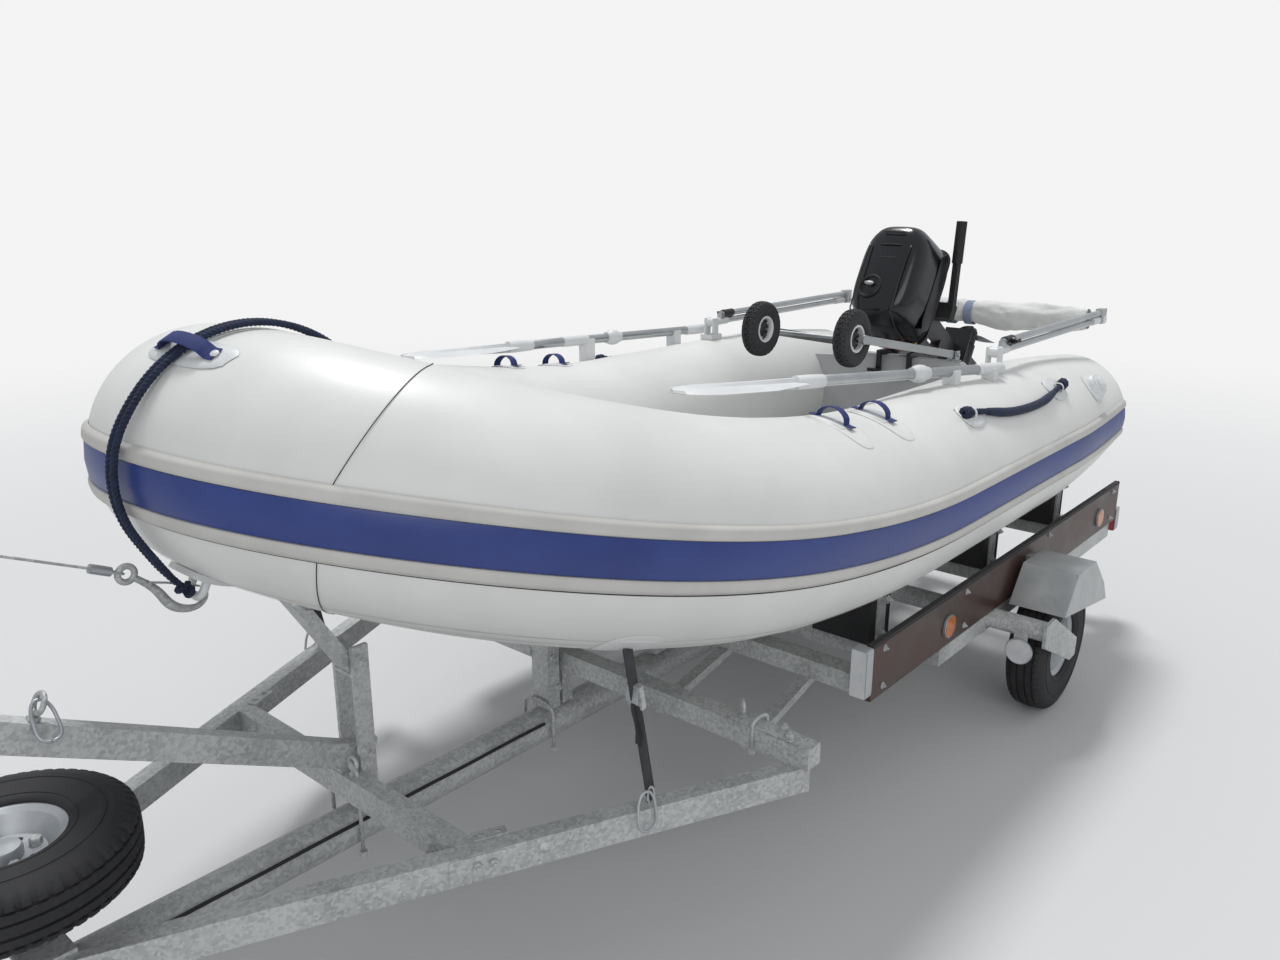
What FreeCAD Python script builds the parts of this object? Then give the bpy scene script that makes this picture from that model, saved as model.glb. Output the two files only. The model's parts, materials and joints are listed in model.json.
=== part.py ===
import FreeCAD, Part
import Sketcher
import math
import os

# An inflatable boat of 3.2 m with its outboard motor, parked on a light trailer.
# +X runs forward to the bow, +Y to port and +Z up. Z 0 is the ground.

V = FreeCAD.Vector
doc = FreeCAD.newDocument("InflatableBoat")
sheet = doc.addObject("Spreadsheet::Sheet", "Sizes")

# Driving dimensions in millimetres and degrees: name, value, meaning.
SIZES = [
    ("stern_x", -1800, "aft ends of the side tubes"),
    ("bow_x", 1380, "foremost point of the bow tube"),
    ("half_beam", 775, "centreline to the outermost point of a side tube"),
    ("tube_radius", 247, "side tube amidships"),
    ("bow_radius", 236, "bow tube on the centreline"),
    ("cone_radius", 205, "side tube at its aft end"),
    ("cone_length", 560, "tapered aft end of a side tube"),
    ("tube_lift", 360, "side tube axis above the cross members"),
    ("knee_x", 180, "where the side tubes start to curve in"),
    ("sheer_x", -420, "where the tubes start to rise"),
    ("bow_rise", 325, "rise of the tube axis at the bow"),
    ("seam_angle", 38, "angle along the bow curve of the bow chamber's seams"),
    ("skin_gap", 0.3, "clearance between skins, pads and what they lie on"),
    ("valve_station", -1680, "inflation valve from the knee"),
    ("strake_half", 62, "half height of the rubbing strake"),
    ("stripe_half", 36, "half height of the coloured stripe in the strake"),
    ("strake_thick", 9, "thickness of the rubbing strake"),
    ("strake_seam", 1.6, "clearance between the strake's strips and its stripe"),
    ("strake_sink", 3, "depth that the tube takes out of the strake's back"),
    ("stripe_thick", 4, "thickness of the coloured stripe"),
    ("deck_angle", 49.57, "place of the deck's edge on the side tube, below its axis"),
    ("chine_angle", 65.75, "place of the chine on the side tube, below its axis"),
    ("floor_thick", 12, "floor board"),
    ("floor_gap", 37, "floor board to the side tubes"),
    ("transom_x", -1508, "aft face of the transom at its top edge"),
    ("transom_thick", 38, "transom board"),
    ("transom_rise", 185, "top edge of the transom above the tube axis"),
    ("transom_rake", 10, "lean of the transom from upright"),
    ("transom_flat", 245, "half width of the transom's level top"),
    ("tilt_back", 52, "tilt axis of the motor behind the transom"),
    ("tilt_rise", 10, "tilt axis of the motor above the transom"),
    ("tilt_angle", 60, "tilt at which the motor is parked"),
    ("steer_offset", 62, "steering axis behind the tilt axis"),
    ("shaft_offset", 150, "drive shaft behind the tilt axis"),
    ("shaft_drop", 500, "propeller shaft below the tilt axis"),
    ("cowl_length", 400, "engine cowl, fore and aft"),
    ("cowl_width", 250, "engine cowl, across"),
    ("cowl_tall", 262, "engine cowl, top to base"),
    ("cowl_base", 105, "cowl base above the tilt axis"),
    ("cowl_wall", 4, "cowl moulding"),
    ("prop_radius", 98, "propeller"),
    ("bimini_x", -1030, "bimini hinge"),
    ("bimini_y", 545, "bimini side tube from the centreline"),
    ("bimini_lift", 61, "bimini hinge above the side tube"),
    ("bimini_reach", 1000, "length of the folded bimini frame"),
    ("bimini_rise", 6, "rise of the folded bimini frame over its length"),
    ("bimini_tube", 11, "radius of the bimini tube"),
    ("canvas_radius", 50, "rolled canvas"),
    ("launch_in", 18, "hinge of the launching wheels ahead of the transom's aft face"),
    ("launch_rise", 25, "hinge of the launching wheels above the transom"),
    ("launch_reach", 680, "hinge to launching wheel axle, along X"),
    ("launch_lift", 130, "launching wheel axle above its hinge"),
    ("launch_y", 172, "launching wheel from the centreline"),
    ("launch_radius", 92, "launching wheel"),
    ("launch_width", 48, "launching wheel"),
    ("launch_leg_y", 212, "legs of the launching wheels from the centreline"),
    ("axle_x", -1020, "road wheel axis"),
    ("wheel_radius", 212, "road wheel"),
    ("wheel_width", 116, "road wheel"),
    ("rim_radius", 101, "bead seat of the road wheel rim"),
    ("beam_x", -790, "suspension tube"),
    ("beam_height", 340, "suspension tube above the ground"),
    ("beam_radius", 30, "suspension tube"),
    ("arm_gap", 13, "tyre to the trailing arm"),
    ("arm_thick", 10, "trailing arm plate"),
    ("fender_step", 20, "side board to the mudguard"),
    ("fender_gap", 9, "mudguard's inner edge to the tyre"),
    ("fender_cover", 19, "mudguard beyond the trailing arm"),
    ("fender_wall", 3, "mudguard sheet"),
    ("fender_rise", 61, "tyre to the top of the mudguard"),
    ("frame_rear", -1920, "aft end of the trailer frame"),
    ("frame_front", -20, "forward end of the side boards"),
    ("rail_front", -450, "forward end of the frame rails"),
    ("rail_y", 700, "outer face of a frame rail"),
    ("rail_wide", 60, "frame rail"),
    ("rail_base", 300, "underside of the frame rails"),
    ("member_base", 380, "underside of the cross members"),
    ("member_tall", 50, "cross members"),
    ("member_wide", 60, "cross members"),
    ("board_base", 372, "underside of the side boards"),
    ("board_tall", 148, "side board"),
    ("board_thick", 18, "side board"),
    ("reflector_front", -450, "forward side reflector"),
    ("reflector_rear", -1711, "aft side reflector"),
    ("support_y", 528, "tube supports from the centreline"),
    ("support_wide", 170, "tube support, across"),
    ("support_long", 110, "tube support, along the boat"),
    ("spine_radius", 45, "central spine tube"),
    ("spine_height", 235, "axis of the spine tube above the ground"),
    ("spine_front", 1830, "forward end of the spine tube"),
    ("spine_rear", -1880, "aft end of the spine tube"),
    ("draw_base", 320, "underside of the drawbar rails"),
    ("draw_tall", 60, "drawbar rail"),
    ("draw_wide", 40, "drawbar rail"),
    ("draw_rear_x", 330, "aft end of the drawbar rails"),
    ("draw_rear_y", 750, "aft end of the drawbar rails from the centreline"),
    ("nose_x", 1880, "where the drawbar rails meet"),
    ("post_x", 962, "bow post"),
    ("post_top", 665, "top of the bow post"),
    ("pad_x", 1108, "padded bow support"),
    ("pad_half", 120, "half width of the padded bow support"),
    ("pad_radius", 35, "padded bow support"),
    ("winch_slope", 27.035, "rise of the winch beam in degrees"),
    ("winch_reach", 1150, "length of the winch beam"),
    ("winch_x", 1760, "winch drum"),
    ("winch_height", 1112, "winch drum above the ground"),
    ("ball_x", 2186, "tow ball socket"),
    ("ball_height", 372, "centre of the tow ball socket above the ground"),
    ("ball_radius", 25.2, "tow ball socket"),
    ("jockey_x", 1985, "jockey wheel stem"),
    ("jockey_y", -88, "jockey wheel stem from the centreline"),
    ("jockey_radius", 100, "jockey wheel"),
    ("jockey_width", 48, "jockey wheel"),
    ("jockey_trail", 38, "jockey wheel axle behind its stem"),
    ("spare_x", 1650, "spare wheel centre"),
    ("spare_height", 508, "spare wheel mid plane above the ground"),
    ("oar_radius", 15, "oar shaft"),
    ("patch_seat", 0.8, "clearance of a welded patch over the tube"),
    ("handle_y", 40, "bow handle from the centreline"),
    ("rope_radius", 7, "painter rope"),
    ("grab_radius", 8, "grab line rope"),
]
for row, (alias, value, meaning) in enumerate(SIZES, start=1):
    sheet.set("A%d" % row, meaning)
    sheet.set("B%d" % row, str(value))
    sheet.setAlias("B%d" % row, alias)
doc.recompute()


def size(alias):
    """The value of one cell of the sheet."""
    return float(sheet.get(alias))


NODES = []


def node(obj, label):
    """Names a finished sub-part and lists it for export."""
    obj.Label = label
    NODES.append(obj)
    return obj


def bind(obj, expressions):
    """Ties properties of an object to cells of the sheet."""
    for prop, expression in expressions.items():
        obj.setExpression(prop, expression)
    return obj


def box(name, x, y, z, long, wide, tall):
    """A box whose corner and sides are expressions of the sheet."""
    obj = doc.addObject("Part::Box", name)
    return bind(obj, {
        "Placement.Base.x": x, "Placement.Base.y": y, "Placement.Base.z": z,
        "Length": long, "Width": wide, "Height": tall,
    })


def rod(name, x, y, z, radius, length, axis=V(0, 0, 1)):
    """A cylinder from a point along an axis."""
    obj = doc.addObject("Part::Cylinder", name)
    obj.Placement = FreeCAD.Placement(V(), FreeCAD.Rotation(V(0, 0, 1), axis))
    return bind(obj, {
        "Placement.Base.x": x, "Placement.Base.y": y, "Placement.Base.z": z,
        "Radius": radius, "Height": length,
    })


def group(label, parts):
    """Like pieces of one body that share a node and don't touch."""
    obj = doc.addObject("Part::Compound", label)
    obj.Links = parts
    return node(obj, label)


def fuse(name, parts):
    """Pieces joined into one solid."""
    obj = doc.addObject("Part::MultiFuse", name)
    obj.Shapes = parts
    return obj


def shape(label, solid):
    """A sub-part whose shape comes from lofts, revolves or bends."""
    obj = doc.addObject("Part::Feature", label)
    obj.Shape = solid
    return node(obj, label)


def feature(name, solid):
    """A piece of a shared node whose shape comes from a loft or a cut."""
    obj = doc.addObject("Part::Feature", name)
    obj.Shape = solid
    return obj


def origin_part(body, role):
    """A plane or axis of a body's own origin."""
    return [part for part in body.Origin.OriginFeatures if part.Role == role][0]


def drawn_on(body, role, name):
    """A sketch on a plane of the body's own origin."""
    drawn = body.newObject("Sketcher::SketchObject", name)
    drawn.AttachmentSupport = (origin_part(body, role), [""])
    drawn.MapMode = "FlatFace"
    return drawn


def outline(drawn, corners):
    """A closed outline in a sketch; each corner is two expressions and is bound to them."""
    values = [[float(drawn.evalExpression(part)) for part in corner] for corner in corners]
    count = len(corners)
    for index, spot in enumerate(values):
        after = values[(index + 1) % count]
        drawn.addGeometry(Part.LineSegment(V(*spot, 0), V(*after, 0)))
    for index in range(count):
        drawn.addConstraint(Sketcher.Constraint("Coincident", index, 2, (index + 1) % count, 1))
    for index, corner in enumerate(corners):
        for kind, axis, part, value in zip(("DistanceX", "DistanceY"), (-2, -1), corner, values[index]):
            if abs(value) < 1e-9:
                drawn.addConstraint(Sketcher.Constraint("PointOnObject", index, 1, axis))
                continue
            spot = drawn.addConstraint(Sketcher.Constraint(kind, -1, 1, index, 1, value))
            if "Sizes" in part:
                drawn.setExpression("Constraints[%d]" % spot, part)


def turned(name, corners):
    """A body turned about its own Z axis from corners of (radius, place along the axis)."""
    made = doc.addObject("PartDesign::Body", name)
    drawn = drawn_on(made, "XZ_Plane", name + "_section")
    outline(drawn, corners)
    turn = made.newObject("PartDesign::Revolution", name + "_turned")
    turn.Profile = drawn
    turn.ReferenceAxis = (drawn, ["V_Axis"])
    turn.Angle = 360
    made.Tip = turn
    return made


def pattern(body, feature_made, times, name):
    """Repeats a feature round the body's Z axis."""
    made = body.newObject("PartDesign::PolarPattern", name)
    made.Originals = [feature_made]
    made.Axis = (origin_part(body, "Z_Axis"), [""])
    made.Angle = 360
    made.Occurrences = times
    body.Tip = made
    return made


def both_sides(solid):
    """A solid and its mirror image on the other side of the centreline."""
    return [solid, solid.mirror(V(), V(0, 1, 0))]


def block(x0, x1, y0, y1, z0, z1):
    """A box between two corners."""
    return Part.makeBox(x1 - x0, y1 - y0, z1 - z0, V(x0, y0, z0))


def bar(start, end, wide, tall, up=V(0, 0, 1)):
    """A rectangular bar between two points."""
    along = end - start
    side = up.cross(along).normalize()
    above = along.cross(side).normalize()
    corners = [start + side * (a * wide / 2) + above * (b * tall / 2)
               for a, b in ((-1, -1), (1, -1), (1, 1), (-1, 1))]
    wire = Part.makePolygon(corners + corners[:1])
    return Part.Face(wire).extrude(along)


def round_bar(start, end, radius):
    """A round bar between two points."""
    return Part.makeCylinder(radius, (end - start).Length, start, end - start)


def bent_tube(points, radius, share=0.45, name=None):
    """A tube of straight runs joined by tangent arcs."""
    edges = []
    radii = []
    last = points[0]
    for before, corner, after in zip(points, points[1:], points[2:]):
        back = (before - corner).normalize()
        ahead = (after - corner).normalize()
        run = min((before - corner).Length, (after - corner).Length)
        half_turn = (math.pi - back.getAngle(ahead)) / 2
        cut = share * run
        radii.append(cut / math.tan(half_turn))
        start = corner + back * cut
        end = corner + ahead * cut
        middle_way = (back + ahead).normalize()
        centre = corner + middle_way * (cut / math.cos(math.pi / 2 - half_turn))
        middle = centre - middle_way * radii[-1]
        edges.append(Part.LineSegment(last, start).toShape())
        edges.append(Part.Arc(start, middle, end).toShape())
        last = end
    edges.append(Part.LineSegment(last, points[-1]).toShape())
    path = Part.Wire(edges)
    first = points[1] - points[0]
    ring = Part.Wire([Part.makeCircle(radius, points[0], first)])
    solid = path.makePipeShell([ring], True, False)
    if name:
        drift = solid.Volume / (math.pi * radius ** 2 * path.Length)
        print(name, "radii", [round(value) for value in radii], "length", round(path.Length),
              "volume share", round(drift, 4))
    return solid


# The tube axis: straight from the stern to the knee, then a rounded bow.
BOW_POWER = 2.2
SHEER_POWER = 1.9
centre_y = size("half_beam") - size("tube_radius")
bow_centre_x = size("bow_x") - size("bow_radius")

# Heights that follow the tubes, which lie on the supports of the trailer.
tube_level = size("member_base") + size("member_tall") + size("tube_lift")
deck_drop = size("tube_radius") * math.sin(math.radians(size("deck_angle")))
chine_drop = size("tube_radius") * math.sin(math.radians(size("chine_angle")))
transom_top = tube_level + size("transom_rise")
tilt_axis = V(size("transom_x") - size("tilt_back"), 0, transom_top + size("tilt_rise"))
bimini_hinge = V(size("bimini_x"), size("bimini_y"),
                 tube_level + size("tube_radius") + size("bimini_lift"))
launch_hinge = V(size("transom_x") + size("launch_in"), 0, transom_top + size("launch_rise"))

# Places across the axle, each from the piece inside it.
board_face = size("rail_y") + size("board_thick")
fender_inner = board_face + size("fender_step")
wheel_y = fender_inner + size("fender_gap") + size("wheel_width") / 2
arm_y = wheel_y + size("wheel_width") / 2 + size("arm_gap")
fender_outer = arm_y + size("arm_thick") + size("fender_cover")
draw_top = size("draw_base") + size("draw_tall") + size("skin_gap")


def axis_height(x):
    """Height of the tube axis at a place along the boat."""
    share = (x - size("sheer_x")) / (bow_centre_x - size("sheer_x"))
    share = min(max(share, 0), 1)
    return tube_level + size("bow_rise") * share ** SHEER_POWER


def tube_size(x):
    """Radius of the tube at a place along the boat."""
    cone_x = size("stern_x") + size("cone_length")
    if x < cone_x:
        share = (cone_x - x) / size("cone_length")
        return size("tube_radius") + (size("cone_radius") - size("tube_radius")) * share ** 1.5
    share = max(x - size("knee_x"), 0) / (bow_centre_x - size("knee_x"))
    return size("tube_radius") + (size("bow_radius") - size("tube_radius")) * share


def axis_point(station):
    """Point of the port tube axis. A station up to 0 is a length aft of the knee,
    and one from 0 to 90 is an angle round the bow curve."""
    if station <= 0:
        x = size("knee_x") + station
        return V(x, centre_y, axis_height(x))
    angle = math.radians(90 - station)
    x = size("knee_x") + (bow_centre_x - size("knee_x")) * abs(math.cos(angle)) ** (2 / BOW_POWER)
    y = centre_y * abs(math.sin(angle)) ** (2 / BOW_POWER)
    return V(x, math.copysign(y, angle), axis_height(x))


def tube_frame(station):
    """Axis point, outward and upward directions and radius at a station."""
    if station >= 90:
        ahead = V(0, -1, 0)
    elif station <= 0:
        step = 5
        ahead = axis_point(station) - axis_point(station - step)
    else:
        step = 0.5
        ahead = axis_point(min(station + step, 89.9)) - axis_point(station - step)
    ahead.normalize()
    outward = V(0, 0, 1).cross(ahead).normalize()
    upward = ahead.cross(outward)
    point = axis_point(min(station, 90))
    return point, outward, upward, tube_size(point.x)


def on_tube(station, angle, lift=0.0):
    """Point on the port tube's skin: angle 0 is outermost and 90 is the top."""
    point, outward, upward, radius = tube_frame(station)
    turn = math.radians(angle)
    return point + (outward * math.cos(turn) + upward * math.sin(turn)) * (radius + lift)


def tube_ring(station, grow=0.0):
    """The round section of a tube, its seam on the inner side."""
    point, outward, upward, radius = tube_frame(station)
    turned = FreeCAD.Rotation(outward * -1, upward, upward.cross(outward), "ZXY")
    ring = Part.Wire([Part.makeCircle(radius + grow)])
    ring.Placement = FreeCAD.Placement(point, turned)
    return ring


def angle_band(station, low, high, lift, thick):
    """The section of a strip that lies on the tube between two angles."""
    inner = [on_tube(station, angle, lift) for angle in (low, (low + high) / 2, high)]
    outer = [on_tube(station, angle, lift + thick) for angle in (high, (low + high) / 2, low)]
    return Part.Wire([
        Part.Arc(*inner).toShape(), Part.LineSegment(inner[2], outer[0]).toShape(),
        Part.Arc(*outer).toShape(), Part.LineSegment(outer[2], inner[0]).toShape(),
    ])


def skin_band(station, low, high, lift, thick):
    """The section of a strip that lies on the tube between two heights."""
    radius = tube_frame(station)[3]
    angles = [math.degrees(math.asin(height / radius)) for height in (low, high)]
    return angle_band(station, angles[0], angles[1], lift, thick)


def mirrored(wire):
    """A section on the starboard side."""
    return wire.mirror(V(), V(0, 1, 0))


stern_station = size("stern_x") - size("knee_x")
cone_station = stern_station + size("cone_length")
seam_station = 90 - size("seam_angle")
sheer_station = size("sheer_x") - size("knee_x")
straight = sheer_station - cone_station
SIDE_STATIONS = [stern_station, stern_station + size("cone_length") / 2,
                 cone_station - 90, cone_station, cone_station + straight * 0.25,
                 cone_station + straight * 0.5, cone_station + straight * 0.75, sheer_station,
                 sheer_station * 0.67, sheer_station * 0.33, 0, 15, 30, seam_station]
BOW_STATIONS = [seam_station, 60, 68, 76, 83, 90]


def side_loft(grow=0.0):
    """The port air chamber, or the space to clear round it."""
    return Part.makeLoft([tube_ring(station, grow) for station in SIDE_STATIONS], True, False)


def bow_loft(grow=0.0):
    """The bow air chamber, or the space to clear round it."""
    rings = [tube_ring(station, grow) for station in BOW_STATIONS]
    rings += [mirrored(tube_ring(station, grow)) for station in reversed(BOW_STATIONS[:-1])]
    return Part.makeLoft(rings, True, False)


def tube_chambers():
    """The three air chambers."""
    port = side_loft()
    shape("tube_port", port)
    shape("tube_starboard", both_sides(port)[1])
    shape("tube_bow", bow_loft())


def strip(low, high, lift, thick):
    """A strip along both tubes and round the bow, parted at the chambers' seams."""
    port = Part.makeLoft([skin_band(station, low, high, lift, thick) for station in SIDE_STATIONS],
                         True, False)
    bands = [skin_band(station, low, high, lift, thick) for station in BOW_STATIONS]
    bands += [mirrored(skin_band(station, low, high, lift, thick))
              for station in reversed(BOW_STATIONS[:-1])]
    return both_sides(port) + [Part.makeLoft(bands, True, False)]


def strake(clear):
    """Two grey rubber strips with the coloured stripe between them, hollowed to the tubes."""
    edge = size("stripe_half") + size("strake_seam")
    sink = size("strake_sink")
    lips = strip(edge, size("strake_half"), -sink, size("strake_thick") + sink)
    lips += strip(-size("strake_half"), -edge, -sink, size("strake_thick") + sink)
    stripe = strip(-size("stripe_half"), size("stripe_half"), -sink, size("stripe_thick") + sink)
    tubes = clear + [bow_loft(size("skin_gap"))]
    shape("rub_strake", Part.makeCompound([lip.cut(tubes) for lip in lips]))
    shape("strake_stripe", Part.makeCompound([band.cut(tubes) for band in stripe]))


def inner_edge(x, below):
    """Distance from the centreline to a tube's inner face at a depth below its axis."""
    radius = tube_size(x) + size("skin_gap")
    reach = math.sqrt(radius ** 2 - below ** 2)
    if x <= size("knee_x"):
        return centre_y - reach
    bend = (x - size("knee_x")) / (bow_centre_x - size("knee_x"))
    y = centre_y * (1 - bend ** BOW_POWER) ** (1 / BOW_POWER)
    slope = (bend ** (BOW_POWER - 1)) * (centre_y / y) ** (BOW_POWER - 1) * centre_y \
        / (bow_centre_x - size("knee_x"))
    return y - reach * math.sqrt(1 + slope ** 2)


def deck_line(x):
    """Height of the rigid hull's deck, which rises with the tubes."""
    return axis_height(x) - deck_drop


# Keel of the rigid hull: place along the boat, depth below the side tube's axis.
KEEL_LINE = [(-1500, 312), (-420, 312), (-180, 310), (40, 302), (300, 270), (470, 230),
             (650, 168), (800, 95), (930, 15), (1010, -28)]


def keel_line(x):
    """Height of the keel at a place along the boat."""
    for (x0, z0), (x1, z1) in zip(KEEL_LINE, KEEL_LINE[1:]):
        if x0 <= x <= x1:
            return tube_level - z0 - (z1 - z0) * (x - x0) / (x1 - x0)


def hull_section(x):
    """A vee section of the rigid hull whose chines touch the tubes."""
    deck = deck_line(x)
    chine = axis_height(x) - chine_drop
    width = inner_edge(x, chine_drop) + 4
    points = [V(x, 0, keel_line(x)), V(x, width, chine), V(x, width * 0.86, deck),
              V(x, -width * 0.86, deck), V(x, -width, chine)]
    return Part.makePolygon(points + points[:1])


def floor_section(x):
    """A section of the floor board on the deck."""
    half = inner_edge(x, deck_drop) - size("floor_gap")
    low = deck_line(x) + size("skin_gap")
    high = low + size("floor_thick")
    points = [V(x, -half, low), V(x, half, low), V(x, half, high), V(x, -half, high)]
    return Part.makePolygon(points + points[:1])


def rigid_hull(clear):
    """The vee bottom between the tubes and the floor board on it."""
    places = [x for x, depth in KEEL_LINE]
    hull = Part.makeLoft([hull_section(x) for x in places], True, True)
    shape("hull_bottom", hull.cut(clear + [bow_loft(size("skin_gap"))]))
    places = [size("transom_x") + 108] + [x for x in places if -1000 < x < 400]
    shape("floor_board", Part.makeLoft([floor_section(x) for x in places], True, True))


TRANSOM_HALF = 400


def transom(clear):
    """The raked transom board between the tubes, with its raised middle for the motor."""
    made = doc.addObject("PartDesign::Body", "transom_board")
    lean = "tan(Sizes.transom_rake * 1 deg)"
    deck = "Sizes.tube_radius * sin(Sizes.deck_angle * 1 deg)"
    tall = "(Sizes.transom_rise + %s - Sizes.skin_gap)" % deck
    side = drawn_on(made, "XZ_Plane", "transom_side")
    outline(side, [("0", "0"), ("Sizes.transom_thick", "0"),
                   ("Sizes.transom_thick + %s * %s" % (tall, lean), "-" + tall),
                   ("%s * %s" % (tall, lean), "-" + tall)])
    board = made.newObject("PartDesign::Pad", "transom_pad")
    board.Profile = side
    board.SideType = "Symmetric"
    board.Length = 2 * TRANSOM_HALF
    for turn, name in ((1, "port"), (-1, "starboard")):
        shoulder = drawn_on(made, "YZ_Plane", "shoulder_" + name)
        flat = "%d * Sizes.transom_flat" % turn
        outline(shoulder, [(flat, "1"), (flat, "0"), (flat + " + %d" % (30 * turn), "-22"),
                           ("%d" % (turn * TRANSOM_HALF), "-30"), ("%d" % (turn * TRANSOM_HALF), "1")])
        step = made.newObject("PartDesign::Pocket", "shoulder_cut_" + name)
        step.Profile = shoulder
        step.SideType = "Symmetric"
        step.Length = 4 * size("transom_thick")
        made.Tip = step
    made.Placement = FreeCAD.Placement(V(size("transom_x"), 0, transom_top), FreeCAD.Rotation())
    fitted = doc.addObject("Part::Cut", "transom_fitted")
    fitted.Base = made
    fitted.Tool = feature("tube_space", Part.makeCompound(clear))
    node(fitted, "transom")


# Bow eye: its place round the bow tube in degrees, and how far its bar stands out.
BOW_EYE_ANGLE = -62
BOW_EYE_REACH = 36


def bow_eye():
    """The moulded bow eye under the strake, a bent bar on a pad."""
    pad = curved_patch(90, BOW_EYE_ANGLE, 84, 84, 12)
    point = on_tube(90, BOW_EYE_ANGLE, 8)
    across = V(0, 1, 0)
    outer = on_tube(90, BOW_EYE_ANGLE, 8 + BOW_EYE_REACH)
    ring = bent_tube([point + across * 24, outer + across * 24, outer - across * 24,
                      point - across * 24], 8)
    return pad.fuse(ring)


def station_step(station, length):
    """How far a station moves over a length along the tube."""
    if station <= 0:
        return length
    return length / (axis_point(station + 0.5) - axis_point(station - 0.5)).Length


def curved_patch(station, angle, long, wide, thick=2.5, lift=None):
    """A patch that follows the tube's skin."""
    half = math.degrees(wide / 2 / tube_frame(station)[3])
    lift = size("patch_seat") if lift is None else lift
    if station >= 90:
        step = station_step(89, long / 2)
        wires = [angle_band(90 - step, angle - half, angle + half, lift, thick),
                 angle_band(90, angle - half, angle + half, lift, thick),
                 mirrored(angle_band(90 - step, angle - half, angle + half, lift, thick))]
        return Part.makeLoft(wires, True, False)
    step = station_step(station, long / 2)
    wires = [angle_band(place, angle - half, angle + half, lift, thick)
             for place in (station - step, station, station + step)]
    return Part.makeLoft(wires, True, False)


# Welded patches on the port tube: station, angle, length, width.
GRAB_PATCHES = [(-770, 55, 92, 72), (-1367, 50, 92, 72)]
LOOP_PATCHES = [(-390, 80, 74, 96), (-170, 80, 74, 96), (27, -57, 70, 70)]
# Oars: where the blade ends and where the grip ends, with heights above the tube axis.
OAR_LINES = [((250, 300, 345), (-986, 584, 270)), ((330, -612, 338), (-1085, -623, 273))]
OAR_RESTS = [(-760, -940), (-430, -900)]


def tube_fittings(clear):
    """Welded patches, valves, oar rests, the bow eye and the hinge brackets of the bimini."""
    pieces = [bow_eye()]
    for station, angle, long, wide in GRAB_PATCHES + LOOP_PATCHES:
        pieces += both_sides(curved_patch(station, angle, long, wide))
    centre = tube_frame(size("valve_station"))[0]
    valve_point = on_tube(size("valve_station"), 40, size("patch_seat"))
    normal = (valve_point - centre).normalize()
    valve = round_bar(valve_point - normal * 20, valve_point + normal * 26, 34)
    pieces += both_sides(valve.cut(clear))
    hinge = bimini_hinge
    seat = tube_level + size("tube_radius")
    bracket = block(hinge.x - 32, hinge.x + 32, hinge.y - 26, hinge.y + 26, seat - 16, seat + 18)
    cheeks = [block(hinge.x - 16, hinge.x + 16, hinge.y + side - 3, hinge.y + side + 3,
                    seat + 17, hinge.z + 16) for side in (-18, 18)]
    pin = Part.makeCylinder(4, 42, hinge - V(0, 21, 0), V(0, 1, 0))
    pieces += both_sides(bracket.cut(clear).fuse(cheeks + [pin]))
    for line, rests in zip(OAR_LINES, OAR_RESTS):
        start, end = [V(x, y, tube_level + rise) for x, y, rise in line]
        hole = round_bar(start, end, size("oar_radius") + size("skin_gap"))
        for x in rests:
            spot = start + (end - start) * ((x - start.x) / (end.x - start.x))
            rest = block(x - 18, x + 18, spot.y - 20, spot.y + 20, spot.z - 90, spot.z + 4)
            pieces.append(rest.cut(hole).cut(clear))
    shape("tube_fittings", Part.makeCompound(pieces))


def webbing():
    """Oar loops and the bow handle."""
    pieces = []
    seat = size("patch_seat") + 2.8
    for station, angle, long, wide in LOOP_PATCHES[:2]:
        feet = [on_tube(station, angle + turn, lift)
                for turn, lift in ((-8, seat), (-8, seat + 34), (8, seat + 34), (8, seat))]
        pieces += both_sides(bent_tube(feet, 5))
    radius = tube_frame(90)[3]
    feet = []
    for side, lift in ((1, -2), (1, 32), (-1, 32), (-1, -2)):
        top = axis_point(90) + V(math.cos(math.radians(62)), 0, math.sin(math.radians(62))) \
            * (radius + lift)
        feet.append(top + V(0, side * 70 + size("handle_y"), 0))
    pieces.append(bent_tube(feet, 6).cut(bow_loft(size("skin_gap"))))
    shape("webbing", Part.makeCompound(pieces))


def grab_line():
    """The rope that hangs between patches on each side tube."""
    stations = [(-735, 56, 12.2), (-810, 54, 12.2), (-960, 45, 10), (-1180, 43, 10),
                (-1310, 47, 12.6), (-1405, 50, 12.6)]
    points = [on_tube(station, angle, lift) for station, angle, lift in stations]
    shape("grab_lines", Part.makeCompound(both_sides(bent_tube(points, size("grab_radius"),
                                                               name="grab line"))))


def oars():
    """Two oars laid on the tubes: grip, shaft, collar and blade."""
    pieces = []
    for line in OAR_LINES:
        blade_end, grip_end = [V(x, y, tube_level + rise) for x, y, rise in line]
        along = (grip_end - blade_end).normalize()
        shaft_start = blade_end + along * 420
        collar = blade_end + along * 890
        shaft = round_bar(shaft_start, grip_end, size("oar_radius"))
        blade = bar(blade_end, shaft_start + along * 20, 140, 9)
        knob = round_bar(collar - along * 20, collar + along * 20, 25)
        knob = knob.makeFillet(12, [edge for edge in knob.Edges if edge.Length > 150])
        pieces.append(shaft.fuse([blade, knob]))
    shape("oars", Part.makeCompound(pieces))


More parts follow.
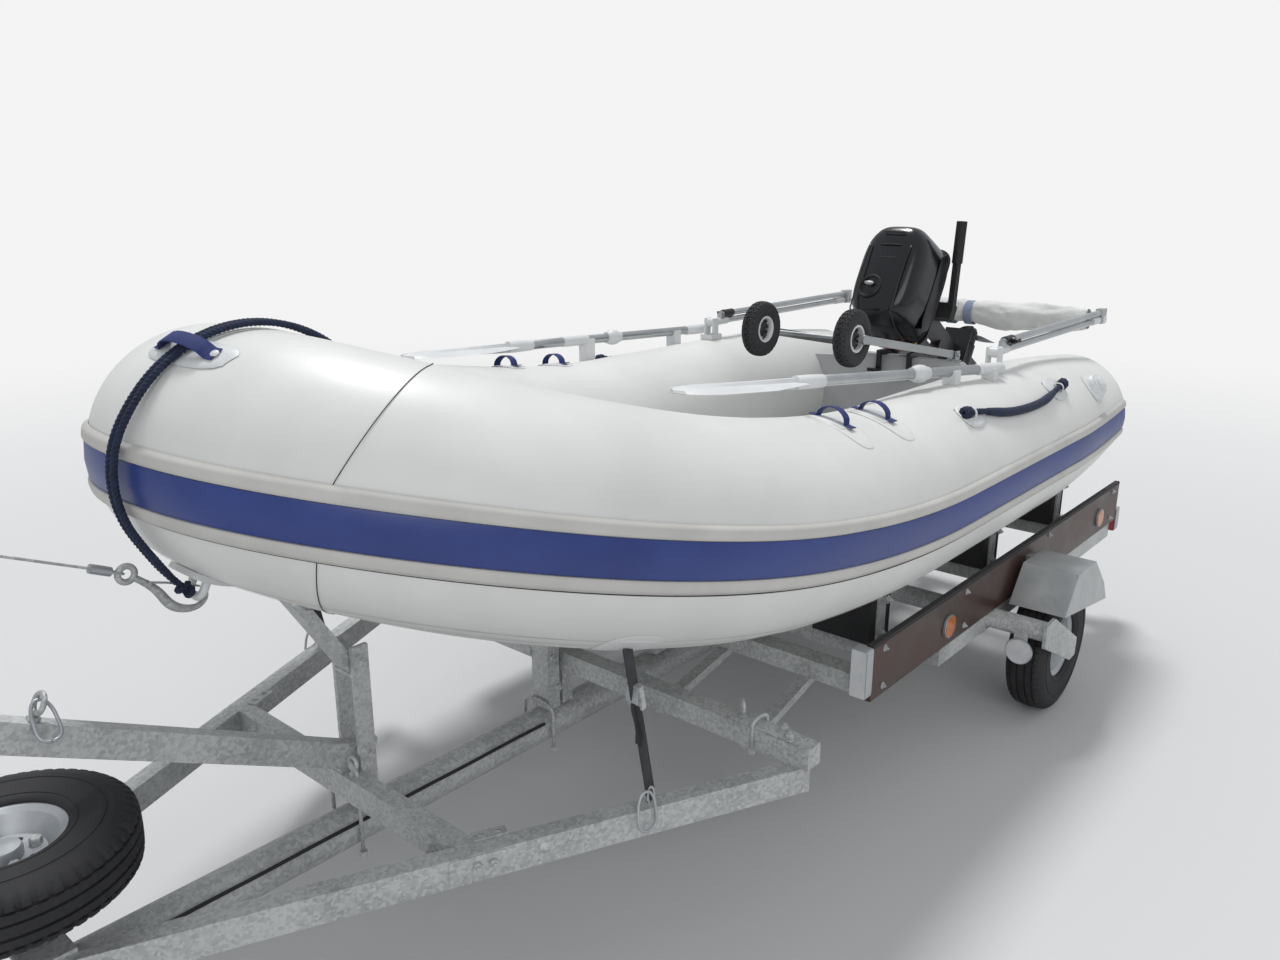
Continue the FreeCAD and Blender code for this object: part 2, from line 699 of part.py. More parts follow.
# Rope from the bow eye over the bow and down inside: angle round the bow tube, distance from
# its axis, distance from the centreline.
PAINTER_TURNS = [
    (-58.5, 276, 17), (-46, 264, 20), (-30, 256, 26), (-15, 262, 30), (0, 264, 30), (15, 262, 30),
    (30, 254, 32), (46, 250, 34), (62, 248, 36), (78, 248, 38), (94, 249, 40), (110, 250, 44),
    (126, 251, 48), (142, 252, 52), (158, 253, 54), (174, 254, 56),
]
PAINTER_END = [(891, 57, 1075), (887, 58, 1010), (890, 60, 945), (886, 60, 880)]


def painter():
    """The mooring rope from the bow eye over the bow."""
    points = []
    for angle, reach, y in PAINTER_TURNS:
        turn = math.radians(angle)
        points.append(V(round(bow_centre_x + reach * math.cos(turn), 1), y,
                        round(axis_height(bow_centre_x) + reach * math.sin(turn), 1)))
    points += [V(*point) for point in PAINTER_END]
    print("painter route", [(round(p.x, 1), round(p.y, 1), round(p.z, 1)) for p in points])
    shape("painter", bent_tube(points, size("rope_radius"), name="painter"))


def bimini():
    """The folded bimini: two side tubes each side and the rolled canvas between them."""
    hinge = bimini_hinge
    tail = V(hinge.x - size("bimini_reach"), hinge.y, hinge.z + size("bimini_rise"))
    radius = size("bimini_tube")
    eye = Part.makeCylinder(13, 24, hinge - V(0, 12, 0), V(0, 1, 0))
    bore = Part.makeCylinder(4.3, 30, hinge - V(0, 15, 0), V(0, 1, 0))
    tubes = [round_bar(hinge - V(10, 0, 0), tail, radius),
             round_bar(hinge + V(-60, 0, 26), tail + V(0, 0, 26), radius)]
    joint = block(tail.x - 20, tail.x + 30, tail.y - 13, tail.y + 13, tail.z - 14, tail.z + 40)
    link = block(hinge.x - 80, hinge.x - 50, hinge.y - 10, hinge.y + 10, hinge.z - 8, hinge.z + 30)
    side = eye.fuse(tubes + [joint, link]).cut(bore)
    gap = size("skin_gap")
    beam = round_bar(V(tail.x, -tail.y + 13 + gap, tail.z), V(tail.x, tail.y - 13 - gap, tail.z),
                     radius)
    shape("bimini_frame", Part.makeCompound(both_sides(side) + [beam]))
    half = tail.y - 40
    roll = Part.makeCylinder(size("canvas_radius"), 2 * half, V(tail.x, -half, tail.z), V(0, 1, 0))
    core = Part.makeCylinder(radius + gap, 2 * tail.y, V(tail.x, -tail.y, tail.z), V(0, 1, 0))
    shape("bimini_canvas", roll.cut(core))


def small_wheel(name, radius, width):
    """A small wheel: bored hub, recessed web and a round tread."""
    half = "%s / 2" % width
    corners = [("6.3", half), ("22", half), ("26", half + " - 12"), (radius + " * 0.6", half + " - 12"),
               (radius + " * 0.68", half + " - 3"), (radius + " - 14", half),
               (radius + " - 5", half + " - 5"), (radius, half + " - 14")]
    corners += [(across, "-(%s)" % along) for across, along in reversed(corners)]
    return node(turned(name + "_body", corners), name)


def launching_wheels():
    """Two small wheels on legs pinned in brackets on top of the transom."""
    hinge = launch_hinge
    hub = hinge + V(size("launch_reach"), 0, size("launch_lift"))
    leg_y = size("launch_leg_y")
    width = size("launch_width")
    seat = transom_top + size("skin_gap")
    foot = block(hinge.x - 16, hinge.x + 18, leg_y - 24, leg_y + 24, seat, seat + 5)
    ears = [block(hinge.x - 14, hinge.x + 14, leg_y + side - 3, leg_y + side + 3, seat + 4,
                  hinge.z + 14) for side in (-14, 14)]
    pin = Part.makeCylinder(7, 44, hinge + V(0, leg_y - 22, 0), V(0, 1, 0))
    bracket = foot.fuse(ears + [pin])
    leg = bar(hinge + V(0, leg_y, 0), hub + V(0, leg_y, 0), 16, 26)
    eye = Part.makeCylinder(13, 16, hinge + V(0, leg_y - 8, 0), V(0, 1, 0))
    eye_hub = Part.makeCylinder(15, 16, hub + V(0, leg_y - 8, 0), V(0, 1, 0))
    bore = Part.makeCylinder(7.3, 30, hinge + V(0, leg_y - 15, 0), V(0, 1, 0))
    stub_end = size("launch_y") - width / 2 - 5
    stub = Part.makeCylinder(6, leg_y - stub_end, hub + V(0, stub_end, 0), V(0, 1, 0))
    tie = round_bar(hub + V(-150, -leg_y, -29), hub + V(-150, leg_y, -29), 7)
    legs = both_sides(leg.fuse([eye, eye_hub, stub]).cut(bore))
    frame = legs[0].fuse([legs[1], tie])
    shape("launch_legs", Part.makeCompound([frame] + both_sides(bracket)))
    for name, side in (("port", 1), ("starboard", -1)):
        wheel = small_wheel("launch_wheel_" + name, "Sizes.launch_radius", "Sizes.launch_width")
        wheel.Placement = FreeCAD.Placement(hub + V(0, side * size("launch_y"), 0),
                                            FreeCAD.Rotation(V(0, 0, 1), V(0, 1, 0)))


def in_motor(solid):
    """Moves a solid drawn upright about the tilt axis to the parked tilt."""
    turn = FreeCAD.Rotation(V(0, 1, 0), size("tilt_angle"))
    parked = FreeCAD.Placement(tilt_axis, turn)
    moved = solid.copy()
    moved.Placement = parked.multiply(moved.Placement)
    return moved


def motor_clamp():
    """Two clamp brackets over the transom, joined by the tilt axle."""
    tilt = tilt_axis
    board_aft = size("transom_x")
    board_top = transom_top
    board_front = board_aft + size("transom_thick")
    lip = tilt.z + 10
    pieces = []
    for y in (-62, 62):
        low, high = y - 8, y + 8
        pieces.append(block(tilt.x - 16, board_front + 20, low, high, board_top + 0.5, lip))
        pieces.append(block(tilt.x - 16, board_aft - 0.5, low, high, board_top - 150, board_top + 1))
        pieces.append(block(board_front + 18, board_front + 34, low, high, board_top - 80, lip))
        pieces.append(Part.makeCylinder(6, 60, V(board_front + 12, y, board_top - 50), V(1, 0, 0)))
        pieces.append(block(board_front + 62, board_front + 74, y - 22, y + 22, board_top - 56,
                            board_top - 44))
    axle = Part.makeCylinder(9, 150, tilt - V(0, 75, 0), V(0, 1, 0))
    shape("motor_clamp", axle.fuse(pieces))


def motor():
    """The outboard motor, drawn upright with the tilt axis at 0 and aft along -X."""
    motor_clamp()
    steer = -size("steer_offset")
    yoke = block(steer - 22, 14, -46, 46, -30, 30)
    yoke = yoke.fuse(Part.makeCylinder(26, 250, V(steer, 0, -190), V(0, 0, 1)))
    yoke = yoke.cut(Part.makeCylinder(9.3, 200, V(0, -100, 0), V(0, 1, 0)))
    yoke = yoke.cut(Part.makeCylinder(12.3, 300, V(steer, 0, -200), V(0, 0, 1)))
    shape("motor_swivel", in_motor(yoke))

    base = size("cowl_base")
    pan_base = base - 22
    shaft = -size("shaft_offset")
    drop = -size("shaft_drop")
    pin = Part.makeCylinder(12, 270, V(steer, 0, -196), V(0, 0, 1))
    lower_arm = block(shaft, steer + 14, -20, 20, -214, -194)
    upper_arm = block(shaft, steer + 14, -20, 20, 62, pan_base + 1)
    tower = Part.makeLoft([
        leg_section(shaft, pan_base + 1, 92, 62), leg_section(shaft, -150, 74, 50),
        leg_section(shaft, -360, 64, 34), leg_section(shaft, drop + 12, 62, 30)], True, True)
    plate = block(shaft - 108, shaft + 46, -58, 58, drop + 128, drop + 134)
    gear = Part.makeCylinder(27, 150, V(shaft - 90, 0, drop), V(1, 0, 0))
    nose = Part.makeSphere(27, V(shaft + 60, 0, drop))
    skeg_points = [V(shaft + 40, 0, drop - 20), V(shaft - 60, 0, drop - 20),
                   V(shaft - 60, 0, drop - 150), V(shaft - 20, 0, drop - 150)]
    skeg = Part.Face(Part.makePolygon(skeg_points + skeg_points[:1])).extrude(V(0, 6, 0))
    skeg.translate(V(0, -3, 0))
    start = -size("cowl_length") + 40
    half = size("cowl_width") / 2
    rim = size("cowl_wall") / 2
    pan = Part.makeLoft([round_rect(start + rim + inset, start + size("cowl_length") - rim - inset,
                                    half - rim - inset, 60, z)
                         for z, inset in ((pan_base, 45), (base + 12, 8), (base + 30, 0))], True, True)
    leg = tower.fuse([pin, lower_arm, upper_arm, plate, gear, nose, skeg, pan])
    shaft_hole = Part.makeCylinder(7.3, 40, V(shaft - 100, 0, drop), V(1, 0, 0))
    shape("motor_leg", in_motor(leg.cut(shaft_hole)))

    cowl_low = base + 30 + size("skin_gap")
    outer = cowl_body(start, size("cowl_length"), 2 * half, cowl_low, size("cowl_tall"), 0)
    inner = cowl_body(start, size("cowl_length"), 2 * half, cowl_low, size("cowl_tall"),
                      size("cowl_wall"))
    shape("motor_cowl", in_motor(outer.cut(inner)))
    engine = block(start + 60, -20, -70, 70, cowl_low, base + 190)
    shape("engine_block", in_motor(engine))
    propeller(shaft, drop)

    pivot = V(-140, 150, base - 42)
    grip_end = V(-440, 150, base + 95)
    along = (grip_end - pivot).normalize()
    arm = bar(pivot, pivot + along * 190, 20, 30)
    grip = round_bar(pivot + along * 180, grip_end, 19)
    mount = block(-172, -112, 48, 160, base - 60, pan_base - size("skin_gap"))
    shape("motor_tiller", in_motor(arm.fuse([grip, mount])))


# Sections of a propeller blade from its root: share of the way out, chord, thickness, pitch.
BLADE_SECTIONS = [(0.0, 40, 7, 52), (0.45, 62, 5, 38), (0.8, 56, 4, 28), (1.0, 26, 2.4, 22)]


def propeller(shaft, drop):
    """Turned hub and stub shaft with three twisted blades."""
    made = turned("propeller_body", [("0", "-70"), ("7", "-70"), ("7", "-36"), ("22", "-36"),
                                     ("22", "18"), ("13", "34"), ("0", "34")])
    sections = []
    for index, (share, chord, thick, pitch) in enumerate(BLADE_SECTIONS):
        section = drawn_on(made, "YZ_Plane", "blade_section_%d" % index)
        reach = 18 + (size("prop_radius") - 18) * share
        section.AttachmentOffset = FreeCAD.Placement(V(0, 0, reach),
                                                     FreeCAD.Rotation(V(0, 0, 1), pitch))
        section.setExpression("AttachmentOffset.Base.z", "18 + (Sizes.prop_radius - 18) * %g" % share)
        outline(section, [("%g" % (chord * across), "%g" % (thick * above))
                          for across, above in ((-0.5, 0), (-0.25, 0.42), (0.1, 0.5), (0.38, 0.3),
                                                (0.5, 0), (0.38, -0.3), (0.1, -0.5), (-0.25, -0.42))])
        sections.append(section)
    blade = made.newObject("PartDesign::AdditiveLoft", "blade")
    blade.Profile = sections[0]
    blade.Sections = sections[1:]
    pattern(made, blade, 3, "blades")
    turn = FreeCAD.Rotation(V(0, 1, 0), size("tilt_angle"))
    parked = FreeCAD.Placement(tilt_axis, turn)
    made.Placement = parked.multiply(FreeCAD.Placement(V(shaft - 130, 0, drop),
                                                       FreeCAD.Rotation(V(0, 0, 1), V(-1, 0, 0))))
    node(made, "propeller")


def leg_section(x, z, long, wide):
    """A pointed oval section of the motor's leg."""
    points = [V(x + long * 0.6, 0, z), V(x + long * 0.2, wide / 2, z), V(x - long * 0.4, wide / 2, z),
              V(x - long * 0.7, 0, z), V(x - long * 0.4, -wide / 2, z), V(x + long * 0.2, -wide / 2, z)]
    return Part.makePolygon(points + points[:1])


def cowl_body(start, long, wide, base, tall, inset):
    """The rounded body of the cowl, or its inside."""
    sections = []
    for height, shrink in ((0, 0), (0.45, 0.02), (0.8, 0.12), (1.0, 0.3)):
        cut = inset
        half = wide / 2 * (1 - shrink) - cut
        front = start + long - cut - long * shrink * 0.35
        back = start + cut + long * shrink * 0.35
        z = base + (tall - 30 - (cut if height == 1.0 else 0)) * height
        corner = min(60, half * 0.6)
        sections.append(round_rect(back, front, half, corner, z))
    return Part.makeLoft(sections, True, True)


def round_rect(x0, x1, half, corner, z):
    """A rectangle with round corners, as lines and arcs."""
    slope = corner * (1 - math.sqrt(0.5))
    spots = [(x1 - corner, -half), (x1 - slope, -half + slope), (x1, -half + corner),
             (x1, half - corner), (x1 - slope, half - slope), (x1 - corner, half),
             (x0 + corner, half), (x0 + slope, half - slope), (x0, half - corner),
             (x0, -half + corner), (x0 + slope, -half + slope), (x0 + corner, -half)]
    points = [V(x, y, z) for x, y in spots]
    edges = []
    for first in range(0, 12, 3):
        edges.append(Part.Arc(points[first], points[first + 1], points[first + 2]).toShape())
        edges.append(Part.LineSegment(points[first + 2], points[(first + 3) % 12]).toShape())
    return Part.Wire(edges)


# Cross members that carry the tube supports, from the front.
SUPPORT_X = [-250, -980, -1560]


def drawbar_rail(grow=0.0):
    """The port rail of the drawbar, or the space to clear round it."""
    rear = V(size("draw_rear_x"), size("draw_rear_y"), size("draw_base") + size("draw_tall") / 2)
    nose = V(size("nose_x"), 24, rear.z)
    return bar(rear, nose, size("draw_wide") + 2 * grow, size("draw_tall") + 2 * grow)


def trailer_frame():
    """Rails, cross members, spine, drawbar and side boards."""
    rails = [box("rail_" + name, "Sizes.frame_rear", y, "Sizes.rail_base",
                 "Sizes.rail_front - Sizes.frame_rear", "Sizes.rail_wide",
                 "Sizes.member_base - Sizes.rail_base")
             for name, y in (("port", "Sizes.rail_y - Sizes.rail_wide"), ("starboard", "-Sizes.rail_y"))]
    cores = [rod("rail_hole", "Sizes.beam_x", "-Sizes.rail_y - 5", "Sizes.beam_height",
                 "Sizes.beam_radius + Sizes.skin_gap", "2 * Sizes.rail_y + 10", V(0, 1, 0))]
    holed = []
    for rail in rails:
        cut = doc.addObject("Part::Cut", rail.Name + "_holed")
        cut.Base = rail
        cut.Tool = cores[0]
        holed.append(cut)
    group("frame_rails", holed)

    between_rails = "(Sizes.rail_y - Sizes.rail_wide)"
    places = [("%g" % x, "Sizes.member_base", "Sizes.rail_y") for x in SUPPORT_X]
    places += [("Sizes.frame_front - Sizes.member_wide / 2", "Sizes.member_base", "Sizes.rail_y"),
               ("Sizes.frame_rear + Sizes.member_wide / 2", "Sizes.rail_base", between_rails)]
    members = []
    for index, (x, z, half) in enumerate(places):
        beam = box("member_%d" % index, "%s - Sizes.member_wide / 2" % x, "-" + half, z,
                   "Sizes.member_wide", "2 * " + half, "Sizes.member_tall")
        hanger = box("hanger_%d" % index, "%s - Sizes.member_wide / 2 + 5" % x, "-25",
                     "Sizes.spine_height + Sizes.spine_radius", "Sizes.member_wide - 10", "50",
                     "%s - Sizes.spine_height - Sizes.spine_radius" % z)
        members.append(fuse("member_hung_%d" % index, [beam, hanger]))
    rear = box("drawbar_rear", "Sizes.draw_rear_x - 20", "-Sizes.draw_rear_y - 25",
               "Sizes.draw_base + Sizes.draw_tall", "50", "2 * Sizes.draw_rear_y + 50", "50")
    rear_hanger = box("drawbar_hanger", "Sizes.draw_rear_x - 12", "-25",
                      "Sizes.spine_height + Sizes.spine_radius", "36", "50",
                      "Sizes.draw_base + Sizes.draw_tall - Sizes.spine_height - Sizes.spine_radius")
    members.append(fuse("drawbar_rear_hung", [rear, rear_hanger]))
    front = block(size("post_x") + 20.3, size("post_x") + 60.3, -450, 450, size("draw_base"),
                  size("draw_base") + size("draw_tall"))
    members.append(feature("drawbar_front", front.cut(both_sides(drawbar_rail(size("skin_gap"))))))
    struts = []
    low = size("member_base") - 11 - size("skin_gap")
    for y in (300, 560):
        struts += both_sides(bar(V(size("draw_rear_x") + 10, y + 40, low),
                                 V(size("frame_front") - 60, y - 40, low), 30, 22))
    members.append(feature("struts", Part.makeCompound(struts)))
    x = size("spare_x")
    plate = block(x - 40, x + 40, -150, 150, draw_top, draw_top + 8)
    stud = Part.makeCylinder(19.7, size("spare_height") + 14 - draw_top - 8, V(x, 0, draw_top + 8))
    boss = Part.makeCylinder(40, size("spare_height") - 8.3 - draw_top - 8, V(x, 0, draw_top + 8))
    members.append(feature("spare_carrier", plate.fuse([stud, boss])))
    group("cross_members", members)

    node(rod("spine", "Sizes.spine_rear", "0", "Sizes.spine_height", "Sizes.spine_radius",
             "Sizes.spine_front - Sizes.spine_rear", V(1, 0, 0)), "spine_tube")

    shape("drawbar_rails", Part.makeCompound(both_sides(drawbar_rail())))

    boards = [box("board_" + name, "Sizes.frame_rear", y, "Sizes.board_base",
                  "Sizes.frame_front - Sizes.frame_rear", "Sizes.board_thick", "Sizes.board_tall")
              for name, y in (("port", "Sizes.rail_y"), ("starboard", "-Sizes.rail_y - Sizes.board_thick"))]
    group("side_boards", boards)


def tube_supports(clear):
    """Rubber blocks under the tubes and the flat brackets that hold them."""
    rubbers = []
    brackets = []
    base = size("member_base") + size("member_tall")
    y0 = size("support_y") - size("support_wide") / 2
    y1 = y0 + size("support_wide")
    half = size("support_long") / 2
    for x in SUPPORT_X:
        top = tube_level - tube_size(x) + 30
        rubbers += both_sides(block(x - half, x + half, y0, y1, base, top).cut(clear))
        flat = block(x - 20, x + 20, y1, y1 + 6, base, top - 6)
        bolt = Part.makeCylinder(8, 16, V(x, y1 + 6, top - 24), V(0, 1, 0))
        brackets += both_sides(flat.cut(clear).fuse(bolt))
    shape("support_rubbers", Part.makeCompound(rubbers))
    return brackets


def bow_posts(brackets):
    """The bow post, its strut to the padded support, and the keel post."""
    x = size("post_x")
    top = size("post_top")
    pad = V(size("pad_x"), 0, axis_height(bow_centre_x) - size("bow_radius") - size("pad_radius") + 3)
    uprights = [block(x - 20, x + 20, y - 5, y + 5, size("draw_base"), top) for y in (-34, 34)]
    plate = block(x - 20, x + 20, -38, 38, top - 70, top - 62)
    strut = bar(V(x, 0, top - 66), pad - V(0, 0, 10), 50, 26)
    saddle = size("spine_height") + size("spine_radius") + size("skin_gap")
    foot = block(x - 16, x + 16, -34, 34, saddle, size("draw_base") + 8)
    post = uprights[0].fuse([uprights[1], plate, strut, foot])
    keel_x = size("draw_rear_x") + 60
    roller_z = keel_line(keel_x) - 27
    keel = block(keel_x - 20, keel_x + 20, -30, 30, saddle, roller_z - 4)
    roller = Part.makeCylinder(26, 120, V(keel_x, -60, roller_z), V(0, 1, 0))
    shape("support_brackets", Part.makeCompound(brackets + [post, keel]))
    shape("keel_roller", roller.cut(keel))
    roll = Part.makeCylinder(size("pad_radius"), 2 * size("pad_half"),
                             pad - V(0, size("pad_half"), 0), V(0, 1, 0))
    shape("bow_support", roll.cut([strut, bow_loft(size("skin_gap"))]))


# Hook of the winch cable through the bow eye: places ahead of and above the eye's bar.
HOOK_ROUTE = [(109.6, 74.2), (24.6, -21.8), (-18.4, -21.8), (-21.4, 10.2)]


def winch_gear():
    """Inclined beam, winch, cable and hook."""
    start = V(size("post_x") + 24, 0, draw_top + 24.7)
    rise = math.radians(size("winch_slope"))
    slope = V(math.cos(rise), 0, math.sin(rise))
    end = start + slope * size("winch_reach")
    beam = bar(start, end, 40, 55)
    foot = block(size("post_x") + 24, size("post_x") + 58, -20, 20, draw_top, start.z + 5)
    leg = block(end.x - 60, end.x - 20, -20, 20, size("ball_height") + 30 + size("skin_gap"), end.z - 30)
    drum = V(size("winch_x"), 0, size("winch_height"))
    on_beam = start.z + (drum.x - start.x) * slope.z / slope.x
    upright = block(drum.x - 25, drum.x + 25, -20, 20, on_beam, drum.z - 60 - size("skin_gap"))
    shape("winch_beam", beam.fuse([foot, leg, upright]))
    cheeks = [block(drum.x - 45, drum.x + 45, y - 3, y + 3, drum.z - 60, drum.z + 45)
              for y in (-36, 36)]
    floor = block(drum.x - 45, drum.x + 45, -39, 39, drum.z - 60, drum.z - 52)
    barrel = Part.makeCylinder(32, 66, drum - V(0, 33, 0), V(0, 1, 0))
    crank = bar(drum + V(0, 52, 0), drum + V(80, 52, 80), 14, 8, V(0, 1, 0))
    hub = Part.makeCylinder(9, 24, drum + V(0, 33, 0), V(0, 1, 0))
    grip = Part.makeCylinder(13, 90, drum + V(76, 50, 76), V(0, 1, 0))
    shape("winch", cheeks[0].fuse([cheeks[1], floor, barrel, crank, hub, grip]))
    eye_bar = on_tube(90, BOW_EYE_ANGLE, 8 + BOW_EYE_REACH)
    route = [eye_bar + V(ahead, 0, above) for ahead, above in HOOK_ROUTE]
    hook_eye = route[0]
    towards = (drum - hook_eye).normalize()
    shape("winch_cable", round_bar(hook_eye + towards * 62.3, drum - towards * 32.3, 2.5))
    ferrule = round_bar(hook_eye + towards * 22, hook_eye + towards * 62, 9)
    hook = bent_tube([hook_eye + towards * 34] + route, 6)
    shape("winch_hook", hook.fuse(ferrule))


def coupling():
    """Ball coupling with its socket, and the handle above it."""
    x = size("ball_x")
    z = size("ball_height")
    nose = block(size("nose_x") - 60, x - 30, -30, 30, z - 30, z + 30)
    nose = nose.cut(both_sides(drawbar_rail(size("skin_gap"))))
    head = Part.makeCylinder(42, 54, V(x, 0, z - 8), V(0, 0, 1))
    socket = Part.makeCylinder(size("ball_radius"), 30, V(x, 0, z - 10), V(0, 0, 1))
    handle = bar(V(x - 10, 0, z + 60), V(x - 150, 0, z + 90), 34, 10)
    link = block(x - 14, x + 14, -14, 14, z + 44, z + 62)
    shape("coupling", nose.fuse([head, handle, link]).cut(socket))


def jockey():
    """Jockey wheel: clamped stem, swivelling fork and wheel."""
    x = size("jockey_x")
    y = size("jockey_y")
    radius = size("jockey_radius")
    clamp_z = size("ball_height")
    stem_base = 2 * radius + 60
    stem = Part.makeCylinder(24, 420, V(x, y, stem_base), V(0, 0, 1))
    clamp = block(x - 32, x + 32, y - 30, -30.2, clamp_z - 28, clamp_z + 28)
    top = Part.makeCylinder(12, 60, V(x, y, stem_base + 420), V(0, 0, 1))
    crank = bar(V(x, y, stem_base + 474), V(x - 90, y, stem_base + 474), 14, 10)
    bore = Part.makeCylinder(14.3, 120, V(x, y, stem_base - 1), V(0, 0, 1))
    shape("jockey_stem", stem.fuse([clamp, top, crank]).cut(bore))
    hub = V(x - size("jockey_trail"), y, radius)
    half = size("jockey_width") / 2
    cheeks = [bar(V(hub.x, y + side * (half + 6), hub.z - 14), V(x - 8, y + side * (half + 6),
                  2 * radius + 28), 4, 34, V(0, 1, 0).cross(V(0, 0, 1))) for side in (-1, 1)]
    bridge = block(x - 34, x + 22, y - half - 8, y + half + 8, 2 * radius + 22, 2 * radius + 32)
    pin = Part.makeCylinder(14, 120, V(x, y, 2 * radius + 32), V(0, 0, 1))
    axle = Part.makeCylinder(6, 2 * half + 24, V(hub.x, y - half - 12, hub.z), V(0, 1, 0))
    shape("jockey_fork", bridge.fuse(cheeks + [pin, axle]))
    wheel = small_wheel("jockey_wheel", "Sizes.jockey_radius", "Sizes.jockey_width")
    wheel.Placement = FreeCAD.Placement(hub, FreeCAD.Rotation(V(0, 0, 1), V(0, 1, 0)))


# Round front reflectors on flats under the suspension tube: place from the centreline.
REFLECTOR_Y = 811
REFLECTOR_DROP = 68


def axle_beam():
    """Suspension tube, trailing arms and stub axles."""
    tube = Part.makeCylinder(size("beam_radius"), 2 * arm_y,
                             V(size("beam_x"), -arm_y, size("beam_height")), V(0, 1, 0))
    hub = V(size("axle_x"), arm_y, size("wheel_radius"))
    root = V(size("beam_x"), arm_y, size("beam_height"))
    points = [root + V(34, 0, 30), root + V(-34, 0, 34), hub + V(-28, 0, 26), hub + V(-24, 0, -30),
              hub + V(20, 0, -34), root + V(34, 0, -38)]
    arm = Part.Face(Part.makePolygon(points + points[:1])).extrude(V(0, size("arm_thick"), 0))
    stub = Part.makeCylinder(14, size("wheel_width") / 2 + 60, hub, V(0, -1, 0))
    flat = block(size("beam_x") + 24, size("beam_x") + 28, REFLECTOR_Y - 20, REFLECTOR_Y + 20,
                 size("beam_height") - size("beam_radius") - 66, size("beam_height"))
    side = arm.fuse([stub, flat])
    shape("axle_beam", tube.fuse([side, side.mirror(V(), V(0, 1, 0))]))


# Six-sided outline of the mudguard: places from the axle and heights, in wheel radii and lengths.
FENDER_CORNERS = [
    ("Sizes.axle_x + Sizes.wheel_radius - 34", "2 * Sizes.wheel_radius - 48"),
    ("Sizes.axle_x + 92", "2 * Sizes.wheel_radius + Sizes.fender_rise"),
    ("Sizes.axle_x - 62", "2 * Sizes.wheel_radius + Sizes.fender_rise"),
    ("Sizes.axle_x - Sizes.wheel_radius + 40", "2 * Sizes.wheel_radius - 40"),
    ("Sizes.axle_x - Sizes.wheel_radius - 2", "2 * Sizes.wheel_radius - 108"),
]


def fenders():
    """Folded sheet mudguards, open at the foot and on the inner side, with their stays."""
    made = doc.addObject("PartDesign::Body", "mudguard")
    side = drawn_on(made, "XZ_Plane", "mudguard_side")
    outline(side, FENDER_CORNERS)
    block_pad = made.newObject("PartDesign::Pad", "mudguard_pad")
    block_pad.Profile = side
    block_pad.Length = fender_outer - fender_inner
    block_pad.setExpression("Length", "Sizes.fender_gap + Sizes.wheel_width + Sizes.arm_gap"
                                      " + Sizes.arm_thick + Sizes.fender_cover")
    doc.recompute()
    faces = list(enumerate(block_pad.Shape.Faces, start=1))
    foot = min(faces, key=lambda item: item[1].normalAt(0, 0).z)[0]
    inner = min(faces, key=lambda item: item[1].CenterOfMass.y)[0]
    shell = made.newObject("PartDesign::Thickness", "mudguard_sheet")
    shell.Base = (block_pad, ["Face%d" % foot, "Face%d" % inner])
    shell.Join = "Intersection"
    shell.Reversed = True
    shell.Value = size("fender_wall")
    shell.setExpression("Value", "Sizes.fender_wall")
    made.Tip = shell
    made.Placement = FreeCAD.Placement(V(0, fender_outer, 0), FreeCAD.Rotation())
    stay_top = "2 * Sizes.wheel_radius + Sizes.fender_rise - 16"
    stay = box("mudguard_stay", "Sizes.axle_x - 20",
               "Sizes.rail_y + Sizes.board_thick + Sizes.skin_gap", stay_top, "40",
               "Sizes.fender_step - Sizes.skin_gap + 4", "13")
    port = fuse("mudguard_port", [made, stay])
    starboard = doc.addObject("Part::Mirroring", "mudguard_starboard")
    starboard.Source = port
    starboard.Normal = V(0, 1, 0)
    group("fenders", [port, starboard])


RIM_HOLES = 8


